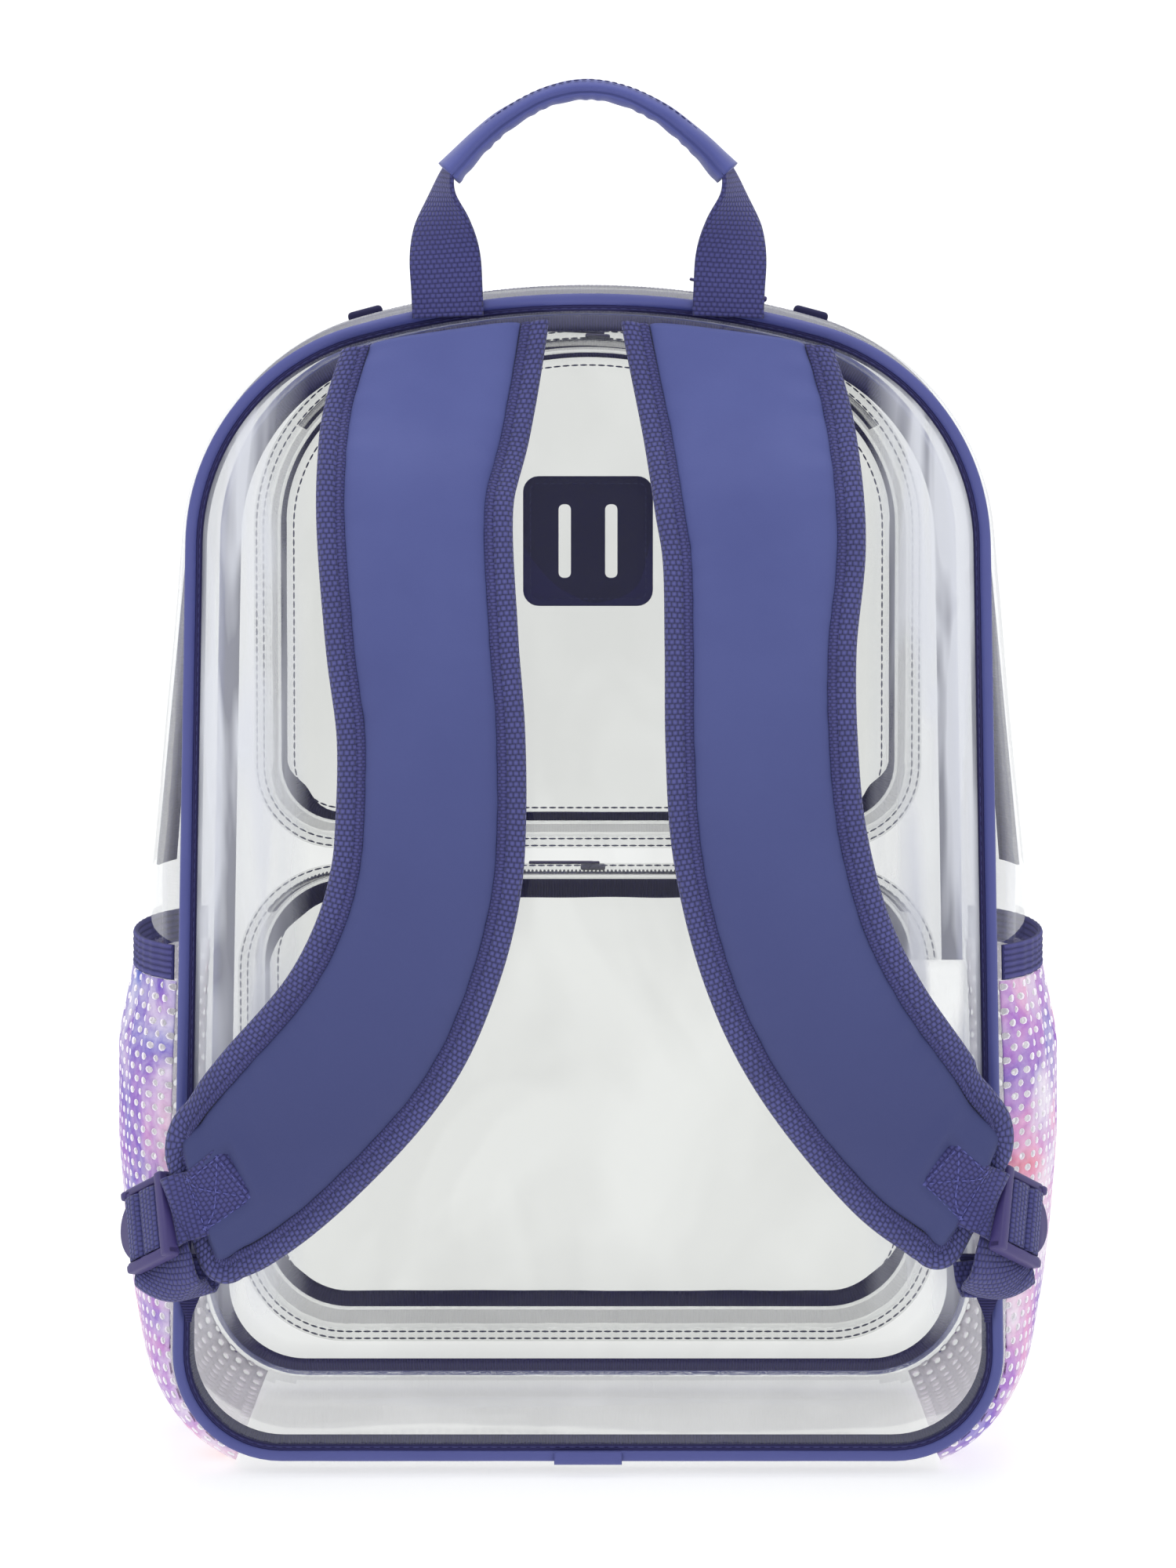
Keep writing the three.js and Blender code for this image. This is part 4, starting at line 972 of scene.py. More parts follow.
@dataclass
class SeamTrim:
    """Piping with its flat tape and stitches, the joint at the foot, and the binding inside the seams."""

    body: Body
    flange: float = 0.0042
    binding_width: float = 0.01
    tape: float = 0.0011
    joint_length: float = 0.025

    def build(self, seam: Outline) -> None:
        """Builds the trim of both seams."""
        stitches = Repeat("seam_stitches", SEWN, (0.00028, 0.00028, 0.0013), Finish.THREAD)
        for name, away in (("back", -1), ("front", 1)):
            self.piping(seam, name, away, stitches)
            self.binding(seam, name, away)
        self.joint()

    def piping(self, seam: Outline, name: str, away: int, stitches: Repeat) -> None:
        """Builds a cord, its flat tape and the stitches through it."""
        y = away * self.body.cord_depth
        turn = np.linspace(0, 2 * math.pi, 14, endpoint=False)
        cord = self.body.cord * (1 + 0.025 * ridged(seam.at(0, y), 45.0))
        ring = [seam.at(cord * math.cos(t), y + away * cord * math.sin(t)) for t in turn]
        piece = grid_piece(f"{name}_piping_cord", np.array(ring), wrap_rows=True, wrap_columns=True)
        dress(piece, Finish.PIPING, "piping", f"{name}_piping")
        section = [(-0.0018, 0.0009), (-self.flange, 0.0007), (-self.flange, -0.0002), (-0.0018, -0.0004)]
        band = [seam.at(out, y + away * lift) for out, lift in section]
        piece = grid_piece(f"{name}_piping_tape", np.array(band), wrap_rows=True, wrap_columns=True)
        dress(piece, Finish.TAPE, "seam_tape")
        path = seam.at(-0.0032, y + away * 0.00095)
        dress(stitches.along(f"{name}_piping_stitches", [ringed(path)]), Finish.THREAD, "seam_tape")

    def binding(self, seam: Outline, name: str, away: int) -> None:
        """Builds the grosgrain that covers a seam's inside."""
        y = away * (self.body.depth / 2 - self.body.cord - 0.0006)
        lean = math.radians(73 if away < 0 else 55)
        rows = []
        for share in np.linspace(0, 1, 6):
            run = share * self.binding_width
            bow = 0.0008 * math.sin(share * math.pi)
            rows.append((-0.0011 - run * math.cos(lean) + bow, y - away * (run * math.sin(lean) - bow)))
        grid = np.array([seam.at(out, depth) for out, depth in rows])
        closed = np.concatenate([grid, grid[:, :1]], axis=1)
        wrapped = Tape(self.tape).wrap(closed.transpose(1, 0, 2))[:-1]
        piece = grid_piece(f"{name}_seam_binding_tape", wrapped, wrap_rows=True, wrap_columns=True)
        dress(piece, Finish.TAPE, "seam_tape", f"{name}_seam_binding")

    def joint(self) -> None:
        """Builds the short sleeve over the ends of the back piping."""
        y = -self.body.cord_depth
        shares = np.linspace(-0.5, 0.5, 25)
        turn = np.linspace(math.radians(-24), math.radians(124), 22)
        radius = self.body.cord + 0.0009
        grid = np.array([[(share * self.joint_length, y - radius * math.sin(t),
                           self.body.sag - radius * math.cos(t)) for t in turn] for share in shares])
        piece = Tape(0.0008).strip("piping_joint_sleeve", grid)
        dress(piece, Finish.PIPING, "piping", "piping_joint")


@dataclass
class MainZip:
    """The zip over the top of the gusset: tape, coil, slider and the two small tabs."""

    body: Body
    tape_width: float = 0.024
    end: float = 0.5
    thick: float = 0.0011
    forward: float = 0.0309

    def build(self, seam: Outline) -> None:
        """Builds the zip."""
        keep = (seam.z > self.end * self.body.seam_top) & (seam.nz > -0.5)
        over = seam.part(keep, np.arctan2(seam.x, seam.z - 0.2))
        columns = np.linspace(-0.5, 0.5, 9) * self.tape_width + self.forward
        grid = np.array([self.body.over(over, 0.0009, y) for y in columns]).transpose(1, 0, 2)
        piece = Tape(self.thick).strip("main_zip_tapes", grid)
        dress(piece, Finish.TAPE, "seam_tape", "main_zip_tape")
        lift = 0.0021
        sides = [self.body.over(over, lift, self.forward + side * 0.0013)[6:-6] for side in (-1, 1)]
        teeth = Repeat("zip_teeth", 0.0016, (0.0014, 0.0007, 0.0005), Finish.COIL)
        dress(teeth.along("main_zip_coil", sides), Finish.COIL, "zip_chain", "main_zip_chain")
        rows = [self.body.over(over, lift - 0.0006, self.forward + side * 0.0095)[3:-3] for side in (-1, 1)]
        stitches = Repeat("zip_stitches", SEWN, (0.0003, 0.0003, 0.0013), Finish.THREAD)
        dress(stitches.along("main_zip_stitches", rows), Finish.THREAD, "seam_tape")
        parked = int(np.argmin(np.abs(over.x - 0.061)))
        line = self.body.over(over, 0.0035, self.forward)
        place, ahead = line[parked], unit(line[parked + 1] - line[parked])
        ahead *= 1 if ahead[0] > 0 else -1
        Slider("main_zip_puller").build(place, ahead, np.array([0.0, 1.0, 0.0]), "main_zip_slider")
        for name, side in (("left", -1), ("right", 1)):
            self.tab(over, name, side)

    def tab(self, over: Outline, name: str, side: int) -> None:
        """Builds a small folded tab that stands beside the chain."""
        near = int(np.argmin(np.abs(over.x - side * 0.084)))
        point = self.body.over(over, 0.0012, self.forward + 0.008)[near]
        out, along = (over.nx[near], 0.0, over.nz[near]), (over.nz[near], 0.0, -over.nx[near])
        piece = joined(f"zip_tab_{name}_fold", [
            rounded_block((0.0138, 0.0057, 0.0052), 0.0016, (0, 0, 0.0026)),
            rounded_block((0.0144, 0.0061, 0.0012), 0.0005, (0, 0, 0.0012))],
            axes(along, (0, 1, 0), out, point))
        dress(piece, Finish.TAPE, "seam_tape", f"zip_tab_{name}")


@dataclass
class Slider:
    """A zip slider: a body with a bridge, and a flat pull on it."""

    name: str
    length: float = 0.01
    width: float = 0.008
    height: float = 0.0034
    pull: float = 0.026

    def build(self, place: np.ndarray, ahead: np.ndarray, aside: np.ndarray, node: str) -> None:
        """Builds the slider.

        Args:
            place: the middle of its underside.
            ahead: the direction in which it runs.
            aside: the direction of its width.
            node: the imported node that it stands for.
        """
        up = np.cross(ahead, aside)
        up *= -1 if up[2] < 0 else 1
        high, wide = self.height, self.width
        blocks = [
            rounded_block((self.length, wide, high * 0.62), 0.0008, (0, 0, high * 0.31)),
            rounded_block((self.length * 0.55, wide * 0.3, high * 0.35), 0.0005, (0, 0, high * 0.8)),
            rounded_block((self.pull, wide * 0.6, 0.0011), 0.0005, (-self.pull / 2, 0, high - 0.0006)),
        ]
        piece = joined(self.name, blocks, axes(ahead, aside, up, place))
        dress(piece, Finish.PLASTIC, "plastic", node)


def rounded_block(size: Sequence[float], radius: float, centre: Sequence[float]) -> bmesh.types.BMesh:
    """Makes a block with rounded edges.

    Args:
        size: its three sides.
        radius: the radius of its edges.
        centre: its middle.

    Returns:
        The block, still in edit form.
    """
    edit = bmesh.new()
    bmesh.ops.create_cube(edit, size=1.0)
    bmesh.ops.scale(edit, vec=size, verts=edit.verts)
    bmesh.ops.bevel(edit, geom=edit.edges[:], offset=radius, segments=3, profile=0.5, affect="EDGES")
    bmesh.ops.translate(edit, vec=centre, verts=edit.verts)
    return edit


def joined(name: str, parts: Sequence[bmesh.types.BMesh], place: Matrix) -> bpy.types.Object:
    """Makes one object of several edit meshes.

    Args:
        name: the object's name.
        parts: the edit meshes, which are used up.
        place: where they go.

    Returns:
        The object.
    """
    whole = bmesh.new()
    for part in parts:
        scratch = bpy.data.meshes.new("scratch")
        part.to_mesh(scratch)
        part.free()
        whole.from_mesh(scratch)
        bpy.data.meshes.remove(scratch)
    bmesh.ops.transform(whole, matrix=place, verts=whole.verts)
    bmesh.ops.recalc_face_normals(whole, faces=whole.faces)
    mesh = bpy.data.meshes.new(name)
    whole.to_mesh(mesh)
    whole.free()
    mesh.shade_smooth()
    return put_in_scene(name, mesh)


# Front pockets


@dataclass
class FrontPocket:
    """A clear tray pocket with its face binding, its zip and its stitches."""

    name: str
    half_width: float
    bottom: float
    top: float
    corner: float
    shoulder: float
    domed: bool
    body: Body
    depth: float = 0.03
    flange: float = 0.005
    lean: float = 0.003
    binding: float = 0.008
    zip_width: float = 0.016

    def outline(self) -> Outline:
        """The outline of the pocket's wall at the panel."""
        rise = self.half_width * math.tan(self.body.crown_slope * 0.45) if self.domed else 0.0
        right = [(self.half_width, self.bottom, self.corner),
                 (self.half_width, self.top - rise * 0.7, self.shoulder)]
        crown = [(0.0, self.top + rise * 0.3, self.half_width)] if self.domed else []
        left = [(-x, z, r) for x, z, r in reversed(right)]
        return Outline.rounded([*right, *crown, *left], 0.004)

    def build(self) -> None:
        """Builds the pocket."""
        outline = self.outline()
        base = self.body.depth / 2 + 0.0021
        face = self.body.depth / 2 + self.depth - 0.0006
        rim = [(self.flange, base), (self.flange * 0.5, base), (0.0008, base)]
        rim += [(0.0, base + 0.001), (-0.0008, base + 0.008), (-0.0019, base + 0.016),
                (-self.lean, face - 0.0024), (-self.lean - 0.0006, face - 0.0009),
                (-self.lean - 0.0022, face)]
        grid = outline.disc(rim, 26, face, 0.0011, 0.0007, self.half_width * 40)
        folds = np.zeros(grid.shape[:2])
        folds[:4] = 0.75
        folds[7:9] = 0.8
        piece = grid_piece(f"{self.name}_sheet", grid[::-1], wrap_columns=True, folds=folds[::-1])
        turn_towards(piece, (0.0, 1.0, 0.0), fill=range(grid.shape[1]))
        dress(piece, Finish.CLEAR, "clear_sheet", self.name)
        edge = -self.lean - 0.0012
        if self.domed:
            shown = np.exp(-((outline.nz + 0.6) / 0.38) ** 2)
        else:
            shown = np.clip(np.abs(outline.nz) * 1.4, 0, 1)
        wide = self.binding * (0.22 + 0.78 * shown)
        wide *= 1 + 0.08 * ridged(outline.at(0, 0), 35.0)
        rows = [outline.at(edge - 0.85 * wide * share, face - 0.0018 - 0.5 * wide * share)
                for share in np.linspace(0, 1, 5)]
        closed = Tape(0.0009).wrap(ringed(np.array(rows).transpose(1, 0, 2)))[:-1]
        band = grid_piece(f"{self.name}_face_tape", closed, wrap_rows=True, wrap_columns=True)
        dress(band, Finish.TAPE, "seam_tape", f"{self.name}_binding")
        self.stitches(outline, base, face)
        self.zip(outline, base, face)

    def stitches(self, outline: Outline, base: float, face: float) -> None:
        """Sews the flange to the panel with two rows, and the face to its wall with one."""
        rows = [outline.at(out, base + 0.0006) for out in (0.0012, 0.0040)]
        rows.append(outline.at(-self.lean - 0.006, face + 0.0006))
        thread = Repeat(f"{self.name}_sewing", SEWN, (0.00055, 0.0004, 0.0016), Finish.THREAD)
        closed = [ringed(row) for row in rows]
        dress(thread.along(f"{self.name}_stitches", closed), Finish.THREAD, "seam_tape")

    def zip(self, outline: Outline, base: float, face: float) -> None:
        """Builds the zip's tape, coil and slider along the top wall."""
        keep = (outline.nz > 0.55) & (outline.z > self.top * 0.8)
        crest = outline.part(keep, outline.x)
        middle = (base + face) / 2
        across = np.linspace(-0.5, 0.5, 7) * self.zip_width
        lean = -self.lean * (middle + across - base) / (face - base)
        grid = np.array([crest.at(out + 0.0011, middle + y) for out, y in zip(lean, across)])
        tape = Tape(0.0011).strip(f"{self.name}_zip_tapes", grid.transpose(1, 0, 2))
        dress(tape, Finish.TAPE, "seam_tape", f"{self.name}_zip")
        teeth = Repeat(f"{self.name}_teeth", 0.0016, (0.0013, 0.0006, 0.0005), Finish.COIL)
        rows = [crest.at(-self.lean / 2 + 0.0019, middle + side * 0.0012)[3:-3] for side in (-1, 1)]
        dress(teeth.along(f"{self.name}_zip_coil", rows), Finish.COIL, "zip_chain")
        at = int(np.argmin(np.abs(crest.x - 0.002)))
        path = crest.at(-self.lean / 2 + 0.0026, middle)
        Slider(f"{self.name}_puller").build(path[at], unit(path[at + 1] - path[at]),
                                            np.array([0.0, 1.0, 0.0]), f"{self.name}_slider")


@dataclass
class LashPatch:
    """The square patch with two slots on the upper pocket."""

    side: float = 0.053
    corner: float = 0.006
    thick: float = 0.0016
    middle: float = 0.342
    slot: tuple[float, float] = (0.005, 0.03)
    spacing: float = 0.019
    face: float = 0.1003

    def build(self) -> None:
        """Builds the patch and its stitches."""
        curve = bpy.data.curves.new("lash_patch_outline", "CURVE")
        curve.dimensions = "2D"
        curve.fill_mode = "BOTH"
        curve.extrude = self.thick / 2 - 0.0004
        curve.bevel_depth = 0.0004
        curve.bevel_resolution = 2
        shapes = [rounded_rectangle(self.side - 0.0008, self.side - 0.0008, self.corner)]
        for side in (-1, 1):
            hole = rounded_rectangle(self.slot[0] + 0.0008, self.slot[1] + 0.0008, self.slot[0] / 2)
            shapes.append(hole + np.array([side * self.spacing / 2, 0.0]))
        for points in shapes:
            spline = curve.splines.new("POLY")
            spline.points.add(len(points) - 1)
            flat, weights = np.zeros(len(points)), np.ones(len(points))
            spline.points.foreach_set("co", np.column_stack([points, flat, weights]).ravel())
            spline.use_cyclic_u = True
        draft = put_in_scene("draft", curve)
        mesh = evaluated(draft)
        bpy.data.objects.remove(draft)
        place = Matrix.Translation((0, self.face + self.thick / 2, self.middle))
        mesh.transform(place @ Matrix.Rotation(math.pi / 2, 4, "X"))
        mesh.name = "lash_patch_plate"
        piece = put_in_scene("lash_patch_plate", mesh)
        mesh.materials.clear()
        dress(face_out(piece), Finish.PATCH, "patch", "lash_patch")
        rim = rounded_rectangle(self.side - 0.006, self.side - 0.006, self.corner - 0.003)
        depth = np.full(len(rim), self.face + self.thick + 0.0001)
        path = np.column_stack([rim[:, 0], depth, rim[:, 1] + self.middle])
        back = path.copy()
        back[:, 1] = self.face - 0.0014
        sewing = Repeat("patch_sewing", 0.003, (0.0003, 0.0003, 0.0011), Finish.THREAD)
        rows = [ringed(row) for row in (path, back)]
        dress(sewing.along("lash_patch_stitches", rows), Finish.THREAD, "patch")


def rounded_rectangle(width: float, height: float, radius: float) -> np.ndarray:
    """Points round a rectangle with rounded corners."""
    turn = np.linspace(0, math.pi / 2, 7)
    rows = []
    for k, (sx, sz) in enumerate(((1, 1), (-1, 1), (-1, -1), (1, -1))):
        angle = turn + k * math.pi / 2
        rows.append(np.column_stack([sx * (width / 2 - radius) + radius * np.cos(angle),
                                     sz * (height / 2 - radius) + radius * np.sin(angle)]))
    return np.concatenate(rows)


@dataclass
class CareLabel:
    """The bare white tag that hangs inside the right seam."""

    width: float = 0.032

    def build(self) -> None:
        """Builds the tag, curled a little away from the panel."""
        low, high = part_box("care_label")
        xs = np.linspace(low[0], high[0], 13)
        zs = np.linspace(low[2], high[2], 19)
        y = (low[1] + high[1]) / 2
        grid = np.array([[(x, y + 0.0012 * math.sin((z - low[2]) * 55) * (high[0] - x) / self.width, z)
                          for x in xs] for z in zs])
        piece = Tape(0.0007).strip("care_label_tag", grid)
        dress(piece, Finish.LABEL, "label", "care_label")


# Side pockets


@dataclass
class SidePocket:
    """Perforated cloth with an elastic band along its mouth."""

    name: str
    side: int
    body: Body
    finish: Finish
    mouth: float = 0.183
    foot: float = 0.003
    swell: float = 0.011
    cloth: float = 0.0012
    elastic: float = 0.013
    pitch: float = 0.0056
    hole: float = 0.00145
    off_heights: tuple[float, ...] = (0, 0.12, 0.35, 0.65, 0.85, 1.0)
    off_shares: tuple[float, ...] = (0, 0.3, 0.75, 1.0, 0.9, 0.35)

    def surface(self, seam: Outline) -> tuple[Outline, np.ndarray]:
        """Returns the stations up this side, and how far the pocket stands off at each."""
        keep = (seam.x * self.side > 0) & (seam.nz < 0.5) & (seam.z < self.body.seam_top * 0.6)
        part = seam.part(keep, seam.z)
        off = self.swell * np.interp(part.z / self.mouth, self.off_heights, self.off_shares)
        return part, off

    def table(self, seam: Outline, lift: float, low: float, high: float, rows: int,
              columns: int) -> np.ndarray:
        """A grid of points on the pocket, even in height and depth.

        Args:
            seam: the seam's outline.
            lift: how far the grid lies off the gusset beside the pocket's own swell.
            low: the lowest station's height.
            high: the highest one's.
            rows: how many rows up.
            columns: how many across the depth.

        Returns:
            The points, by row and column.
        """
        part, off = self.surface(seam)
        grid = []
        for share in np.linspace(-0.975, 0.975, columns):
            out = self.body.swell(part, share) + lift + off * (1 - share ** 4)
            column = part.at(out, share * self.body.half)
            lengths = np.concatenate([[0], np.cumsum(np.linalg.norm(np.diff(
                np.column_stack([part.x, part.z]), axis=0), axis=1))])
            start, end = np.interp([low, high], part.z, lengths)
            even = np.linspace(start, end, rows)
            grid.append(np.stack([np.interp(even, lengths, column[:, k]) for k in range(3)], axis=1))
        return np.array(grid).transpose(1, 0, 2)

    def build(self, seam: Outline) -> None:
        """Builds the cloth, its gathers and its elastic."""
        table = self.table(seam, 0.0012, self.body.sag + self.foot, self.mouth, 60, 61)
        height = arc_lengths(table, 0)[-1].mean()
        width = arc_lengths(table, 1)[:, -1].mean()
        flat = self.perforated(width, height)
        points = np.empty(len(flat.vertices) * 3)
        flat.vertices.foreach_get("co", points)
        points = points.reshape(-1, 3)
        u = np.clip(points[:, 0] / width, 0, 1) * (table.shape[1] - 1)
        v = np.clip(points[:, 1] / height, 0, 1) * (table.shape[0] - 1)
        bent = self.look_up(table, v, u)
        rise = np.clip(points[:, 1] / height, 0, 1)
        waves = np.sin(points[:, 0] * 2 * math.pi / 0.0105 + 2 * np.sin(points[:, 0] * 90))
        gather = 0.0007 * waves * rise ** 3
        bent[:, 0] += self.side * (gather - 0.0007 * rise ** 3)
        flat.vertices.foreach_set("co", bent.ravel())
        flat.update()
        piece = put_in_scene(f"side_pocket_{self.name}_cloth", flat)
        turn_towards(piece, (self.side, 0.0, 0.0))
        thick = piece.modifiers.new("thickness", "SOLIDIFY")
        thick.thickness = self.cloth
        thick.offset = 1.0
        solid = evaluated(piece)
        piece.modifiers.clear()
        piece.data = solid
        solid.shade_smooth()
        solid.materials.clear()
        solid.materials.append(self.finish.material())
        solid.materials.append(Finish.CLOTH_BACK.material())
        count = len(flat.polygons)
        facing = sum(polygon.normal.x for polygon in solid.polygons[:count]) * self.side
        for i, polygon in enumerate(solid.polygons):
            polygon.material_index = int((i < count) == (facing < 0) or i >= 2 * count)
        dress(piece, self.finish, "printed_mesh", f"side_pocket_{self.name}")
        self.band(seam)

    @staticmethod
    def look_up(table: np.ndarray, v: np.ndarray, u: np.ndarray) -> np.ndarray:
        """Reads a table of points between its rows and columns."""
        i = np.clip(v.astype(int), 0, table.shape[0] - 2)
        j = np.clip(u.astype(int), 0, table.shape[1] - 2)
        s, t = (v - i)[:, None], (u - j)[:, None]
        return ((1 - s) * (1 - t) * table[i, j] + (1 - s) * t * table[i, j + 1]
                + s * (1 - t) * table[i + 1, j] + s * t * table[i + 1, j + 1])

    def perforated(self, width: float, height: float) -> bpy.types.Mesh:
        """Makes flat perforated cloth by Geometry Nodes.

        Args:
            width: the cloth's width.
            height: its height.

        Returns:
            One cell with a hole in it, laid in staggered rows and joined.
        """
        columns, rows = round(width / self.pitch), round(height / (self.pitch * 0.88))
        cell_width, cell_height = width / columns, height / rows
        outer = [(0, 0), (0.5, 0), (1, 0), (1, 1), (0.5, 1), (0, 1)]
        angles = [-135, -90, -45, 45, 90, 135]
        ring = [(0.5 + self.hole / cell_width * math.cos(math.radians(a)),
                 0.5 + self.hole / cell_height * math.sin(math.radians(a))) for a in angles]
        ring += [(0.5 + self.hole / cell_width * side, 0.5) for side in (1, -1)]
        points = [(x * cell_width, y * cell_height, 0.0) for x, y in outer + ring]
        faces = [(0, 1, 7, 6), (1, 2, 8, 7), (2, 3, 9, 12), (2, 12, 8), (3, 4, 10, 9), (4, 5, 11, 10),
                 (5, 0, 13), (0, 6, 13), (5, 13, 11)]
        cell_mesh = bpy.data.meshes.new("cloth_cell")
        cell_mesh.from_pydata(points, [], faces)
        cell = put_in_scene("cloth_cell", cell_mesh)
        seeds = bpy.data.meshes.new("cloth_seeds")
        shifts = [(column + (0.5 if row % 2 else 0.0), row)
                  for row in range(rows) for column in range(-1, columns)]
        seeds.from_pydata([(c * cell_width, r * cell_height, 0.0) for c, r in shifts], [], [])
        obj = put_in_scene(f"cloth_{self.name}", seeds)
        group = bpy.data.node_groups.new("perforated_cloth", "GeometryNodeTree")
        face = group.interface
        face.new_socket("Geometry", in_out="INPUT", socket_type="NodeSocketGeometry")
        cell_id = face.new_socket("Cell", in_out="INPUT", socket_type="NodeSocketObject").identifier
        weld_id = face.new_socket("Weld", in_out="INPUT", socket_type="NodeSocketFloat").identifier
        face.new_socket("Geometry", in_out="OUTPUT", socket_type="NodeSocketGeometry")
        nodes = NodeTree(group)
        start, end = nodes.make("NodeGroupInput"), nodes.make("NodeGroupOutput")
        info = nodes.make("GeometryNodeObjectInfo", Object=start.outputs[1])
        copies = nodes.make("GeometryNodeInstanceOnPoints", Points=start.outputs[0],
                            Instance=info.outputs["Geometry"])
        real = nodes.make("GeometryNodeRealizeInstances", Geometry=copies.outputs[0])
        weld = nodes.make("GeometryNodeMergeByDistance", Geometry=real.outputs[0])
        nodes.put(weld, "Distance", start.outputs[2])
        dressed = nodes.make("GeometryNodeSetMaterial", Geometry=weld.outputs[0])
        dressed.inputs["Material"].default_value = self.finish.material()
        nodes.put(end, 0, dressed.outputs[0])
        modifier = obj.modifiers.new("perforate", "NODES")
        modifier.node_group = group
        modifier[cell_id] = cell
        modifier[weld_id] = self.hole * 0.05
        flat = evaluated(obj)
        bpy.data.objects.remove(obj)
        bpy.data.objects.remove(cell)
        return flat

    def band(self, seam: Outline) -> None:
        """Builds the ribbed elastic above the cloth."""
        low = self.mouth + 0.0003
        grid = self.table(seam, 0.0015, low, low + self.elastic, 31, 121)
        ribs = 0.00045 * np.abs(np.sin(np.linspace(0, 5 * math.pi, 31)))[:, None]
        pulls = 0.00025 * np.sin(np.linspace(0, 34 * math.pi, 121))[None]
        front = grid.copy()
        front[..., 0] += self.side * (ribs + pulls + 0.0004)
        back = grid.copy()
        back[..., 0] -= self.side * 0.0005
        closed = np.concatenate([front, back[::-1]]).transpose(1, 0, 2)
        piece = grid_piece(f"pocket_elastic_{self.name}_band", closed, wrap_columns=True, caps=True)
        dress(piece, Finish.ELASTIC, "webbing", f"pocket_elastic_{self.name}")


# Arm straps


